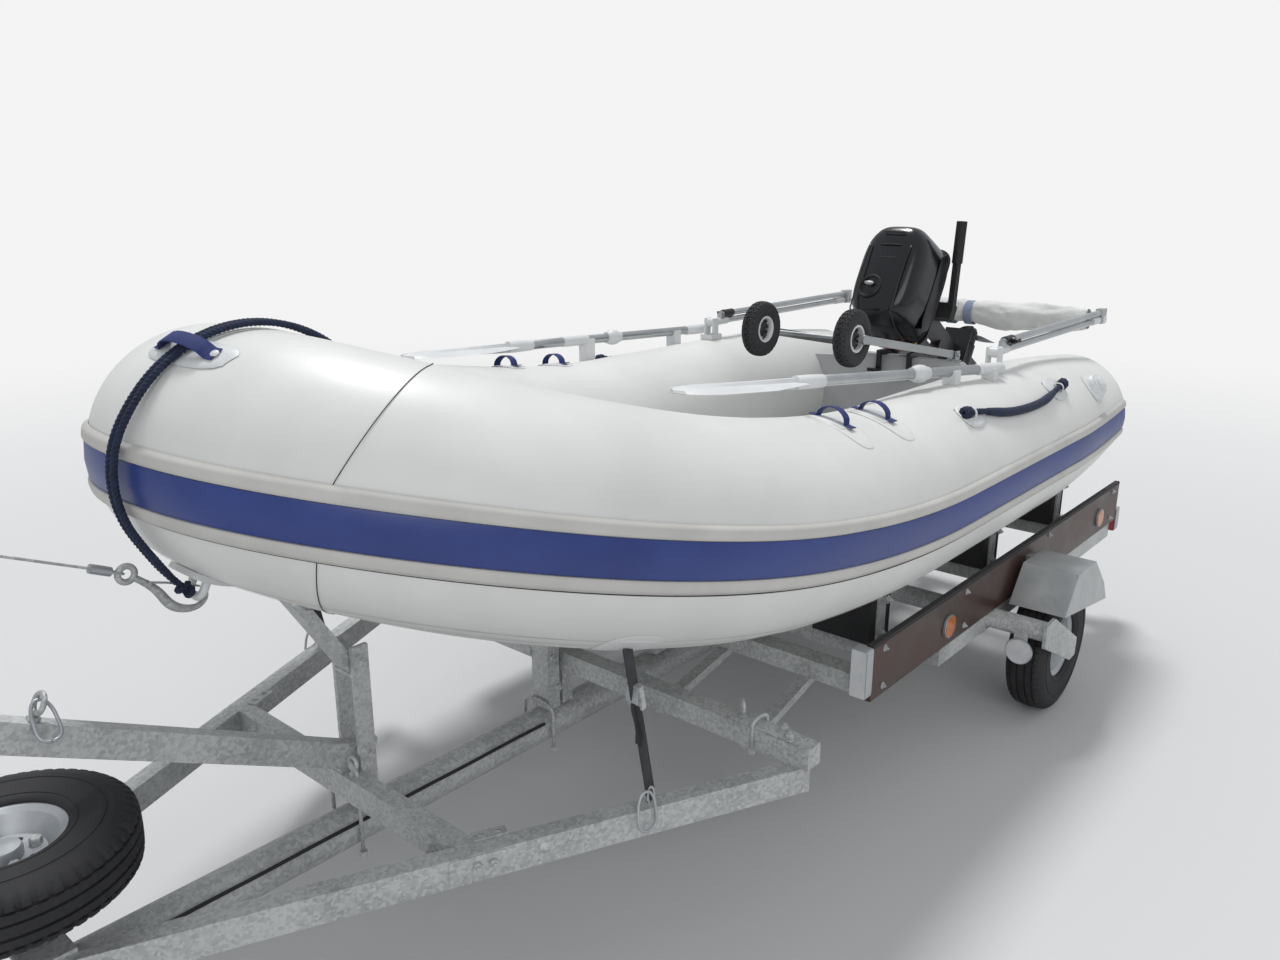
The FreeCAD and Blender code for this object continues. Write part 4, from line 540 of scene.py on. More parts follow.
def knot_line(centre, across, along, size, rounds=2, count=70):
    """A closed, wrapped line that reads as a pulled knot."""
    up = across.cross(along).normalized()
    line = []
    for turn in turns(count) + [2 * math.pi]:
        around = turn * rounds
        line.append(centre + along * size * 0.75 * math.cos(turn)
                    + (across * math.cos(around) + up * math.sin(around))
                    * size * (0.62 + 0.25 * math.sin(turn * 3)))
    return line


print("rope helpers ready")


# %% Two legs of the mooring rope, with a knot at each end
def rope_leg(name, route, replaces, knots):
    """One leg: its own smooth line, its own strands and its knots."""
    line = even_points(nurbs_line(name, route), ROPE_STEP)
    rope = piece(name, *strands_round(line, ROPE_RADIUS), "rope_navy", replaces=replaces)
    for tag, spot, first, last in knots:
        ahead = (line[last] - line[first]).normalized()
        wrapped = knot_line(line[spot], ahead.orthogonal().normalized(), ahead, 0.0125)
        piece(name + "_" + tag, *strands_round(even_points(wrapped, 0.003),
                                                           ROPE_RADIUS * 0.9), "rope_navy")
    length = sum((b - a).length for a, b in zip(line, line[1:]))
    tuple(route[0])
    print(name, "is", round(length, 3), "m long")


END_KNOT = ("end_knot", -3, -8, -1)
rope_leg("mooring_rope", PAINTER_ROUTE, ["painter"], [("ring_knot", 4, 1, 8), END_KNOT])
rope_leg("mooring_rope_return", [(x, y + LEG_GAP, z) for x, y, z in PAINTER_ROUTE[1:-1]], [],
         [END_KNOT])

# %% [markdown]
# ## The line of the air tubes
# All tubes follow one line: straight from the stern, then round the bow, rising as it goes. The
# numbers are the CAD part's own, in metres, so that each skin lies where its solid is.

# %% Tube line and radius
STERN_X, BOW_X, KNEE_X, SHEER_X = -1.800, 1.380, 0.180, -0.420
TUBE_RADIUS, BOW_RADIUS, CONE_RADIUS, CONE_LENGTH = 0.247, 0.236, 0.205, 0.560
TUBE_HEIGHT, BOW_RISE, HALF_BEAM = 0.790, 0.325, 0.775
BOW_POWER, SHEER_POWER, SEAM = 2.2, 1.9, 52.0
CENTRE_Y = HALF_BEAM - TUBE_RADIUS
BOW_CENTRE_X = BOW_X - BOW_RADIUS


def axis_height(x):
    """Height of the tube line."""
    share = min(max((x - SHEER_X) / (BOW_CENTRE_X - SHEER_X), 0), 1)
    return TUBE_HEIGHT + BOW_RISE * share ** SHEER_POWER


def tube_size(x):
    """Radius of the tube, which is a cone at the stern."""
    cone_x = STERN_X + CONE_LENGTH
    if x < cone_x:
        share = min((cone_x - x) / CONE_LENGTH, 1)
        return TUBE_RADIUS + (CONE_RADIUS - TUBE_RADIUS) * share ** 1.5
    return TUBE_RADIUS + (BOW_RADIUS - TUBE_RADIUS) * max(x - KNEE_X, 0) / (BOW_CENTRE_X - KNEE_X)


def axis_point(station):
    """Point of the tube line: metres aft of the knee up to 0, degrees round the bow beyond it.
    Past 90 degrees it is the starboard side, back to 180 at the knee and metres beyond."""
    if station > 90:
        return axis_point(180 - station) * FLIP[-1]
    if station <= 0:
        x = KNEE_X + station
        return Vector((x, CENTRE_Y, axis_height(x)))
    angle = math.radians(90 - station)
    x = KNEE_X + (BOW_CENTRE_X - KNEE_X) * abs(math.cos(angle)) ** (2 / BOW_POWER)
    return Vector((x, CENTRE_Y * abs(math.sin(angle)) ** (2 / BOW_POWER), axis_height(x)))


print("centre of the bow at", round(BOW_CENTRE_X, 3))


# %% Places on the tube's skin and rings along it
RING_STEP = 0.022


def tube_frame(station):
    """Centre, outward and upward directions and radius."""
    if station > 90:
        point, outward, upward, radius = tube_frame(180 - station)
        return point * FLIP[-1], outward * FLIP[-1], upward * FLIP[-1], radius
    if station >= 89.9:
        ahead = Vector((0, -1, 0))
    elif station <= 0:
        ahead = axis_point(station) - axis_point(station - 0.005)
    else:
        ahead = axis_point(min(station + 0.5, 89.9)) - axis_point(station - 0.5)
    ahead.normalize()
    outward = Vector((0, 0, 1)).cross(ahead).normalized()
    return axis_point(station), outward, ahead.cross(outward), tube_size(axis_point(station).x)


def on_tube(station, angle, lift=0.0):
    """Point on the tube's skin: angle 0 is outermost and 90 is the top."""
    point, outward, upward, radius = tube_frame(station)
    turn = math.radians(angle)
    return point + (outward * math.cos(turn) + upward * math.sin(turn)) * (radius + lift)


def stations(first, last):
    """Stations spaced evenly along the line from one to another."""
    fine, value = [], first
    while value < last:
        fine.append(value)
        value += 0.004 if value < 0 else 0.25
        if fine[-1] < 0 < value:
            value = 0.0
    chosen = [first]
    for value in fine[1:]:
        if (axis_point(value) - axis_point(chosen[-1])).length >= RING_STEP:
            chosen.append(value)
    return chosen + [last]


PORT = stations(STERN_X - KNEE_X, SEAM)
HALF_BOW = stations(SEAM, 90)
BOW = HALF_BOW + [180 - value for value in reversed(HALF_BOW[:-1])]
STARBOARD = [180 - value for value in PORT]
ALL_ROUND = PORT + BOW[1:] + STARBOARD[::-1][1:]
print("tube line has", len(PORT), "and", len(BOW), "rings")

# %% [markdown]
# ## Air chambers
# Coated cloth under pressure is smooth but never perfect: it swells a little between seams. The
# skin is a fine ring mesh that is pushed in and out by about a millimetre with smooth noise, and
# the aft ends close with a shallow dome.

# %% Skins of the three chambers
CHAMBER_SIDES = 96
ANGLES = [360 * k / CHAMBER_SIDES for k in range(CHAMBER_SIDES)]


def swelled(station, angle):
    """A point of the skin with its small swell."""
    point = on_tube(station, angle)
    swell = noise.noise(point * 3.1) * 0.0012 + noise.noise(point * 9) * 0.0004
    return on_tube(station, angle, swell - 0.0006)


def dome(ring):
    """Shrinking rings behind a ring, so that the end is round."""
    centre = sum(ring, Vector()) / len(ring)
    added = []
    for share in (0.12, 0.3, 0.5, 0.7, 0.86, 0.96):
        back = Vector((-0.030 * math.sqrt(1 - (1 - share) ** 2), 0, 0))
        added.append([centre + (p - centre) * math.sqrt(1 - share ** 2.2) + back for p in ring])
    return added[::-1]


for name, places in (("tube_port", PORT), ("tube_bow", BOW), ("tube_starboard", STARBOARD)):
    rings = [[swelled(station, angle) for angle in ANGLES] for station in places]
    if name != "tube_bow":
        rings = dome(rings[0]) + rings
    shell(name + "_skin", rings, "tube_fabric", replaces=[name], edge=50)
print("three chambers")

# %% [markdown]
# Where two lengths of cloth meet, a welded tape covers the joint. A tape is a thin strip that keeps
# a small distance from the skin, with its edges thinned down.


# %% Tapes over the seams and along the bottom, and a painted shadow under the strake
def seam_station(angle):
    """The cloth is cut on the slant: this seam lies further aft over the top than at the side."""
    share = min(max((angle - 12) / 80, 0), 1) if angle < 180 else min(max((300 - angle) / 100, 0), 1)
    return 64.5 - 6.5 * share


def seam_tape(name, side, half, lift):
    """A fine tape round the tube over the slanted seam."""
    step = half / (axis_point(62.5) - axis_point(61.5)).length
    rings = [[on_tube(seam_station(angle) + offset * step, angle, rise) * FLIP[side]
              for angle in ANGLES]
             for offset, rise in ((-1, 0.0001), (-0.8, lift), (0.8, lift), (1, 0.0001))]
    shell(name, rings, "strap_grey", ends=False)


def long_tape(name, angle, half, lift, slot):
    """A tape along all tubes at one height."""
    edges = ((-half, 0.0002), (-half * 0.7, lift), (half * 0.7, lift), (half, 0.0002))
    shell(name, [[on_tube(station, angle + turn, rise) for turn, rise in edges]
                 for station in ALL_ROUND], slot, closed=False)


for side, tag in SIDES:
    seam_tape("seam_tape_" + tag, side, 0.0006, 0.0011)
long_tape("bottom_tape_upper", -50, 0.30, 0.0006, "strake_rubber")
long_tape("bottom_tape_lower", -57, 0.30, 0.0006, "strake_rubber")
# A near-black strip just below the strake's lower lip is painted shadow: it stands for the shade that the
# lip casts on the tube.
long_tape("strake_shadow_line", -16.7, 0.32, 0.0008, "cable_black")
print("tapes")

# %% [markdown]
# ## Rubbing strake
# The strake is an extruded rubber section: two raised grey lips with a coloured band between them.
# A profile in heights and thicknesses is carried round the whole boat.

# %% Carry a section round the boat
UPPER_LIP = [(0.038, 0.0005), (0.038, 0.0060), (0.0405, 0.0088), (0.045, 0.0098), (0.055, 0.0098),
             (0.0595, 0.0088), (0.062, 0.0060), (0.0665, 0.0022), (0.0665, 0.0005)]
LOWER_LIP = [(-height, lift) for height, lift in reversed(UPPER_LIP)]
BAND = [(-0.0365, 0.0005), (-0.0365, 0.0036), (-0.030, 0.0050), (0.0, 0.0060), (0.030, 0.0050),
        (0.0365, 0.0036), (0.0365, 0.0005)]


def strake_section(name, profile, slot, replaces=()):
    """A profile of heights and thicknesses carried round the boat."""
    rings = [[on_tube(station, math.degrees(math.asin(height / tube_frame(station)[3])), lift)
              for height, lift in profile] for station in ALL_ROUND]
    shell(name, rings, slot, replaces=replaces, edge=40)


strake_section("strake_upper", UPPER_LIP, "strake_rubber", ["rub_strake"])
strake_section("strake_lower", LOWER_LIP, "strake_rubber")
strake_section("strake_band", BAND, "stripe_blue", ["strake_stripe"])
print("strake")

# %% [markdown]
# ## Patches on the tubes
# Every fitting on an inflatable sits on a welded patch. The patch is cut round so that no corner
# can lift, and its edge is thin. Each one here is a grown oval mapped onto the tube's skin, which
# keeps it exactly as curved as the tube.

# %% Rounded patches that lie on the skin
LOOP_ANGLE, LOOP_RISE, LOOP_WIDE, LOOPS = 80, 0.031, 0.026, (-0.390, -0.170)
VALVE_SPOT = (-1.680, 40)
# name, station, angle, length, width, thickness, slot, squareness
PATCHES = [("loop_tongue_0", LOOPS[0], 74, 0.100, 0.190, 0.0012, "tube_fabric", 2.6),
           ("loop_patch_0", LOOPS[0], 80, 0.080, 0.100, 0.0042, "fitting_white", 2.6),
           ("loop_tongue_1", LOOPS[1], 74, 0.100, 0.190, 0.0012, "tube_fabric", 2.6),
           ("loop_patch_1", LOOPS[1], 80, 0.080, 0.100, 0.0042, "fitting_white", 2.6),
           ("grab_patch_0", -0.770, 55, 0.110, 0.088, 0.0041, "fitting_white", 2.6),
           ("grab_patch_1", -1.367, 50, 0.110, 0.088, 0.0041, "fitting_white", 2.6),
           ("ring_tongue", 27, -57, 0.120, 0.120, 0.0012, "tube_fabric", 2.6),
           ("valve_ring", *VALVE_SPOT, 0.115, 0.115, 0.0012, "tube_fabric", 2)]


def tube_patch(name, station, angle, long, wide, thick, slot, power, side):
    """An oval patch on one side tube; side -1 puts it to starboard."""
    radius = tube_frame(station)[3]
    step = 1 if station <= 0 else 1 / (axis_point(station + 0.5) - axis_point(station - 0.5)).length
    rings = []
    for share, rise in ((0.08, thick), (0.4, thick), (0.75, thick), (0.95, thick), (1.0, 0)):
        rings.append([on_tube(station + bent(math.cos(turn), 2 / power) * share * long / 2 * step,
                              angle + math.degrees(bent(math.sin(turn), 2 / power) * share * wide
                                                   / 2 / radius), 0.0004 + rise) * FLIP[side]
                      for turn in turns(48)])
    points, faces = skin(rings, ends=False)
    piece(name, points, faces + [tuple(range(48))], slot)


for side, tag in SIDES:
    for name, *line in PATCHES:
        tube_patch(name + "_" + tag, *line, side)
print(2 * len(PATCHES), "patches")

# %% [markdown]
# ## Turned pieces
# Caps, valves, collars, tyres and rims are all round about an axis, so one function turns a
# profile of distances from the axis and places along it.


# %% Turn a profile about any axis
def lathe(name, centre, axis, profile, slot, body=ROOT, sides=48, replaces=(), shape=None,
          hollow=False):
    """A turned piece; profile holds (radius, place along the axis), a closed loop if hollow."""
    axis, side, up = arms(axis)
    rings = []
    for radius, place in profile:
        rings.append([Vector(centre) + axis * place + (side * math.cos(t) + up * math.sin(t))
                      * (shape(radius, place, t) if shape else radius) for t in turns(sides)])
    return shell(name, rings + rings[:1] if hollow else rings, slot, body, replaces, 40,
                 ends=not hollow)


VALVE = [(0.003, 0.037), (0.019, 0.037), (0.0225, 0.034), (0.0225, 0.028), (0.032, 0.025),
         (0.0385, 0.018), (0.041, 0.008), (0.0475, 0.0035), (0.051, 0.0006)]


def milled(radius, place, turn):
    """The grip round the valve's cap."""
    return radius * (1.03 if 0.020 < radius < 0.023 and math.sin(12 * turn) > 0 else 1)


for side, tag in SIDES:
    spot = on_tube(*VALVE_SPOT)
    away = spot - axis_point(VALVE_SPOT[0])
    lathe("valve_" + tag, spot * FLIP[side], away * FLIP[side], VALVE, "fitting_white", shape=milled)
print("valves")

# %% [markdown]
# ## Webbing
# Straps are flat. A strap is a thin section swept along its line with the flat side kept towards
# the tube, which a round tube or a twisting sweep would lose.

# %% Flat straps
STRAP_SECTION = ((-1, -0.5), (-0.94, -1), (0.94, -1), (1, -0.5), (1, 0.5), (0.94, 1), (-0.94, 1),
                 (-1, 0.5))


def strap(name, line, flat, width, thick, slot, body=ROOT, replaces=()):
    """A strap along a line; flat is the direction across it."""
    rings = []
    for index, point in enumerate(line):
        ahead = ahead_at(line, index)
        across = Vector(flat)
        across = (across - ahead * across.dot(ahead)).normalized()
        rings.append([point + across * a * width / 2 + ahead.cross(across) * b * thick / 2
                      for a, b in STRAP_SECTION])
    return shell(name, rings, slot, body, replaces, 50)


def oar_loop(name, station, side, replaces):
    """A loop that stands on two feet across the top of the tube."""
    away = (on_tube(station, LOOP_ANGLE) - axis_point(station)).normalized()
    ahead = (axis_point(station + 0.01) - axis_point(station - 0.01)).normalized()
    near, far = [on_tube(station, LOOP_ANGLE + turn, 0.006) for turn in (-9, 9)]
    line = [near + (near - far) * 0.25 - away * 0.001]
    line += [near.lerp(far, share) + away * LOOP_RISE * math.sin(math.pi * share) ** 0.45
             for share in between(0, 1, 24)]
    line += [far + (far - near) * 0.25 - away * 0.001]
    strap(name, [p * FLIP[side] for p in line], ahead * FLIP[side], LOOP_WIDE, 0.0024,
          "webbing_blue", replaces=replaces)


for side, tag in SIDES:
    for index, station in enumerate(LOOPS):
        oar_loop("oar_loop_%d_%s" % (index, tag), station, side,
                 ["webbing"] if side > 0 and index == 0 else ())
print("oar loops")

# %% Handle on the bow
HANDLE_Y, HANDLE_LONG, HANDLE_TURN = 0.040, 0.17, math.radians(62)


def bow_skin(y, turn):
    """Skin point and normal on the bow tube at a distance from the centreline."""
    degrees = math.degrees(turn)
    best = min((60 + k * 0.25 for k in range(241)), key=lambda place: abs(on_tube(place, degrees).y - y))
    point = on_tube(best, degrees)
    return point, (point - axis_point(best)).normalized()


def bow_handle():
    """The flat handle on its white plate at the top of the bow."""
    radius = tube_frame(90)[3]
    rings = []
    for share, rise in ((0.1, 0.0035), (0.6, 0.0035), (0.92, 0.0035), (1.0, 0.0006)):
        spots = [bow_skin(HANDLE_Y + bent(math.cos(t), 0.6) * 0.115 * share,
                          HANDLE_TURN + bent(math.sin(t), 0.6) * 0.036 * share / radius)
                 for t in turns(40)]
        rings.append([point + normal * rise for point, normal in spots])
    points, faces = skin(rings, ends=False)
    piece("handle_plate", points, faces + [tuple(range(40))], "fitting_white")
    line = []
    for share in between(0, 1, 30):
        point, normal = bow_skin(HANDLE_Y + HANDLE_LONG * (share - 0.5), HANDLE_TURN)
        edge = min(share, 1 - share) * HANDLE_LONG - 0.018
        lift = 0 if edge < 0 else 0.024 * math.sin(math.pi * edge / (HANDLE_LONG - 0.036)) ** 0.5
        line.append(point + normal * (0.006 + lift))
    flat = (-math.sin(HANDLE_TURN), 0, math.cos(HANDLE_TURN))
    strap("bow_handle", line, flat, 0.030, 0.0026, "webbing_blue")
    for place in (HANDLE_Y - 0.080, HANDLE_Y + 0.080):
        point, normal = bow_skin(place, HANDLE_TURN)
        lathe("handle_stud_%d" % round(place * 1000), point + normal * 0.006, normal,
              [(0.001, 0.0045), (0.006, 0.004), (0.008, 0.002), (0.008, 0)], "fitting_white", sides=20)
    print("bow handle")


bow_handle()

# %% [markdown]
# ## Grab ropes
# A navy rope hangs between its two patches on each side. It is fixed at both ends, so it isn't a
# free cord, but it is laid from three strands in the same way as the mooring rope, with a sleeve
# over its middle to hold on to.

# %% Grab ropes through their patches
GRAB_STATIONS = [(-0.735, 56, 0.0122), (-0.810, 54, 0.0122), (-0.960, 45, 0.010),
                 (-1.180, 43, 0.010), (-1.310, 47, 0.0126), (-1.405, 50, 0.0126)]
KEEPER_HALF, KEEPER_RISE, KEEPER_FOOT, KEEPER_PLACE = 0.017, 0.0215, 0.0115, 0.020
GRAB_RADIUS = 0.009


def grab_end(tag, index, side, end, along):
    """Two keepers over one end of a grab rope, and its knot."""
    outward = end - axis_point(GRAB_STATIONS[-index][0]) * FLIP[side]
    outward.normalize()
    along = along.normalized()
    across = outward.cross(along)
    for place in (0.012, -0.012):
        centre = end + along * (place + (-KEEPER_PLACE if index else KEEPER_PLACE)) - outward * KEEPER_FOOT
        line = [centre + across * KEEPER_HALF * math.cos(t) + outward * KEEPER_RISE * math.sin(t)
                for t in between(0, math.pi, 12)]
        strap("rope_keeper_%s_%d_%d" % (tag, index, place > 0), line, along, 0.009, 0.0022,
              "fitting_white")
    wrapped = knot_line(end + outward * 0.004, across, along, 0.0165, rounds=3, count=110)
    piece("grab_knot_%s_%d" % (tag, index), *strands_round(even_points(wrapped, 0.003), 0.0075),
          "rope_navy")


for side, tag in SIDES:
    route = [on_tube(*stop) * FLIP[side] for stop in GRAB_STATIONS]
    line = even_points(nurbs_line("grab_rope", route), ROPE_STEP)
    points, faces = strands_round(line, GRAB_RADIUS, twist=0.034)
    sleeve = line[int(len(line) * 0.16):int(len(line) * 0.84)]
    skin(along_path(sleeve, lambda share: 0.0098 + 0.0030 * min(1, 8 * share, 8 * (1 - share)), 20),
         points=points, faces=faces)
    piece("grab_rope_" + tag, points, faces, "rope_navy", replaces=["grab_lines"] if side > 0 else ())
    grab_end(tag, 0, side, route[0], route[1] - route[0])
    grab_end(tag, 1, side, route[-1], route[-1] - route[-2])
print("grab ropes")

# %% [markdown]
# ## Oars
# The blade is a moulded spoon with a rib down its middle, pushed onto an alloy shaft that wears a
# plastic socket, a round collar and a ribbed grip. The blade's section changes along its length, so
# it is skinned from sections; the round parts are turned.

# %% Blades, shafts, sockets and collars
OARS = {"port": (Vector((0.250, 0.300, 1.135)), Vector((-0.986, 0.584, 1.060))),
        "starboard": (Vector((0.330, -0.612, 1.128)), Vector((-1.085, -0.623, 1.063)))}
BLADE_LONG, BLADE_HALF, BLADE_THICK = 0.440, 0.070, 0.0045
COLLAR = [(0.0152, 0.856), (0.019, 0.857), (0.020, 0.868), (0.0245, 0.876), (0.026, 0.890),
          (0.0245, 0.904), (0.020, 0.912), (0.019, 0.923), (0.0152, 0.924)]


def oar_blade(side, tip, along, replaces):
    """Sections of a blade: half widths across, thickness and rib upwards."""
    across = Vector((0, 0, 1)).cross(along).normalized()
    up = along.cross(across)
    rings = []
    for share in between(0, 1, 24):
        half = BLADE_HALF * min(1, 0.55 + 1.9 * share) * (1 - 0.72 * max(0, share - 0.62) / 0.38)
        half *= math.sqrt(max(0.02, 1 - max(0, 0.10 - share) ** 2 / 0.0105))
        rib = (0.006 + 0.010 * share) / BLADE_THICK
        face = ((-0.7, 1), (-0.18, 1), (-0.09, rib), (0.09, rib), (0.18, 1), (0.7, 1))
        outline = ((-1, 0), *face, (1, 0), *[(a, -b) for a, b in reversed(face)])
        rings.append([tip + along * BLADE_LONG * share + across * a * half
                      + up * (b * BLADE_THICK + 0.006 * math.cos(a * 1.4) * (1 - share) - 0.003)
                      for a, b in outline])
    shell("oar_blade_" + side, rings, "fitting_white", replaces=replaces, edge=30)


def oar(side, tip, grip, replaces):
    """One oar from its blade to its grip."""
    along, length = (grip - tip).normalized(), (grip - tip).length
    oar_blade(side, tip, along, replaces)
    ribs = [(0.0172 + 0.0008 * (k % 2), length - 0.112 + 0.009 * k) for k in range(12)]
    turned = [("shaft", "oar_alloy", [(0.0145, 0.410), (0.015, 0.412), (0.015, length - 0.002),
                                      (0.014, length)]),
              ("socket", "fitting_white", [(0.0152, 0.40), (0.0180, 0.402), (0.0185, 0.45),
                                           (0.0172, 0.50), (0.0152, 0.502)]),
              ("collar", "fitting_white", COLLAR),
              ("grip", "fitting_white", [(0.0152, length - 0.115)] + ribs
               + [(0.0168, length + 0.001), (0.004, length + 0.004)])]
    if side == "starboard":
        turned.append(("sleeve", "fitting_white", [(0.0152, 0.64), (0.0170, 0.642), (0.0170, 0.758),
                                                   (0.0152, 0.76)]))
    for name, slot, profile in turned:
        lathe("oar_%s_%s" % (name, side), tip, along, profile, slot)


for side, ends in OARS.items():
    oar(side, *ends, ["oars"] if side == "port" else ())
print("oars")

# %% [markdown]
# ## Folded sun canopy
# The frame lies folded aft. Its cloth is rolled round the cross tube, and the roll is loose, so it
# sags, bunches and shows its outer flap. A spiral that grows outwards gives the rolled layers, and
# noise along the roll gives the folds. It is a single sheet, as the real one is, and it is wound
# tighter over the propeller.

# %% Rolled cloth
HINGE = Vector((-1.030, 0.545, 1.098))
TAIL = Vector((-2.030, 0.545, 1.104))
CANOPY_TIES = (-0.360, -0.045, 0.035)
CORE, LAYERS, SAG, HALF_CLOTH = 0.018, 0.048, 0.026, 0.5
CLOTH_ROWS, CLOTH_COLUMNS, CLOTH_TURNS = 150, 120, 2.6


def tied(y):
    """1 at a tie and 0 away from it."""
    return min(1, sum(math.exp(-((y - at) / 0.030) ** 2) for at in CANOPY_TIES))


def middle(y):
    """1 over the propeller and 0 away from it."""
    return math.exp(-(y / 0.11) ** 2)


def full(y):
    """How full the roll is at a place along it: thin at its ends and where it is tied."""
    return (1 - 0.42 * abs(y / HALF_CLOTH) ** 3) * (1 - 0.13 * tied(y)) * (1 - 0.25 * middle(y))


def hang(y):
    """How far the outer layers hang."""
    return SAG * (1 - (y / HALF_CLOTH) ** 2) * (1 - 0.65 * middle(y))


def cloth_point(radius, turn, y):
    """A point of the rolled sheet, with its folds and its sag."""
    outer = (radius - CORE) / LAYERS
    spot = Vector((math.cos(turn), math.sin(turn), 0))
    fold = noise.noise(spot * 1.3 + Vector((0, 0, y * 7))) * 0.012
    fold += noise.noise(spot * 2.4 + Vector((5, 0, y * 19))) * 0.006
    fold += abs(noise.noise(spot * 1.1 + Vector((9, 0, y * 34 + spot.y * 2)))) * 0.005
    fold *= outer * (1 - 0.8 * tied(y))
    reach = (radius + fold) * (1 + (full(y) - 1) * outer)
    stretch = 1.12 if spot.y < 0 else 0.96
    return (TAIL.x + reach * spot.x, y, TAIL.z + reach * spot.y * stretch - outer * hang(y))


def canopy_roll():
    """The cloth as one sheet, and the bands that tie it."""
    rings = [[cloth_point(CORE + LAYERS * share, 2 * math.pi * CLOTH_TURNS * share, y)
              for y in between(-HALF_CLOTH, HALF_CLOTH, CLOTH_COLUMNS)]
             for share in between(0, 1, CLOTH_ROWS)]
    cloth = shell("canopy_cloth", rings, "canvas_white", "bimini", ["bimini_canvas"], closed=False)
    for index, at in enumerate(CANOPY_TIES):
        size = (0.0210 + LAYERS) * full(at)
        ring = [Vector((TAIL.x + size * math.cos(t), at, TAIL.z - hang(at)
                        + size * math.sin(t) * (1.10 if math.sin(t) < 0 else 0.96)))
                for t in between(0, 2 * math.pi, 48)]
        strap("canopy_tie_%d" % index, ring, (0, 1, 0), 0.034, 0.0016, "band_blue",
                           "bimini")


canopy_roll()

# %% Canopy frame fittings
EYE_PROFILE = [(0.004, -0.0175), (0.013, -0.0175), (0.0155, -0.015), (0.0155, 0.015), (0.013, 0.0175),
               (0.004, 0.0175)]
WING_NUT = [(0.001, 0.018), (0.006, 0.018), (0.007, 0.010), (0.011, 0.008), (0.011, 0)]


def sleeve_profile(half, radius):
    """A short sleeve over the frame's tube."""
    return [(0.0111, -half), (radius, 0.001 - half), (radius, half - 0.001), (0.0111, half)]


def canopy_fittings(side, tag):
    """Eyes, sleeves, the slider and its wing nut on one side of the frame."""
    hinge, tail = HINGE * FLIP[side], TAIL * FLIP[side]
    run = TAIL - HINGE
    for index, end in enumerate((hinge, tail)):
        lathe("canopy_eye_%d_%s" % (index, tag), end, (0, side, 0), EYE_PROFILE, "fitting_white",
              "bimini", 32)
    for share in (0.06, 0.93):
        lathe("canopy_sleeve_%d_%s" % (share * 100, tag), hinge.lerp(tail, share), run,
              sleeve_profile(0.035, 0.0135), "fitting_white", "bimini", 32)
    slider = hinge.lerp(tail, 0.10) + Vector((0, 0, 0.026))
    lathe("canopy_slider_" + tag, slider, run, sleeve_profile(0.03, 0.0145), "motor_black", "bimini",
          32)
    lathe("wing_nut_" + tag, slider + Vector((0, 0.015 * side, 0)), (0, side, 0), WING_NUT,
          "motor_black", "bimini", 24)
    base = slider + Vector((0, 0.024 * side, 0))
    for wing in (1, -1):
        blade = [base + Vector((wing * x, side * y, z)) for x, y, z in
                 ((0.006, 0, -0.004), (0.022, 0.006, -0.006), (0.022, 0.006, 0.006),
                  (0.006, 0, 0.004))]
        shell("wing_%s_%d" % (tag, wing > 0),
              [blade, [p + Vector((0, side * 0.003, 0)) for p in blade]], "motor_black", "bimini")


for side, tag in SIDES:
    canopy_fittings(side, tag)
print("canopy fittings")

# %% [markdown]
# ## Outboard motor
# The cowl is a blow-moulded shell: a rounded box that narrows to the top, with a raised panel along
# its middle, a seal at its foot and a recessed latch. Its sections are superellipses, whose power
# sets how square each one is. Everything is drawn upright about the tilt axis and then turned by
# the 60 degrees at which the motor is parked.

# %% Upright motor places turned to the parked tilt
TILT_AXIS, PARKED = (-1.560, 0.985), math.radians(60)
COWL_BASE, COWL_TOP, COWL_HALF, COWL_POWER = 0.1353, 0.3673, 0.125, 3.4
COWL_AFT, COWL_FORE = -0.360, 0.040


def in_motor(x, y, z):
    """A place in the upright motor, in metres from the tilt axis."""
    return Vector((TILT_AXIS[0] + x * math.cos(PARKED) + z * math.sin(PARKED), y,
                   TILT_AXIS[1] - x * math.sin(PARKED) + z * math.cos(PARKED)))


MOTOR_UP = in_motor(0, 0, 1) - in_motor(0, 0, 0)


def rounded_section(x0, x1, half, z):
    """A squared ellipse across the motor."""
    return [((x0 + x1) / 2 + (x1 - x0) / 2 * bent(math.cos(t), 2 / COWL_POWER),
             half * bent(math.sin(t), 2 / COWL_POWER), z) for t in turns(64)]


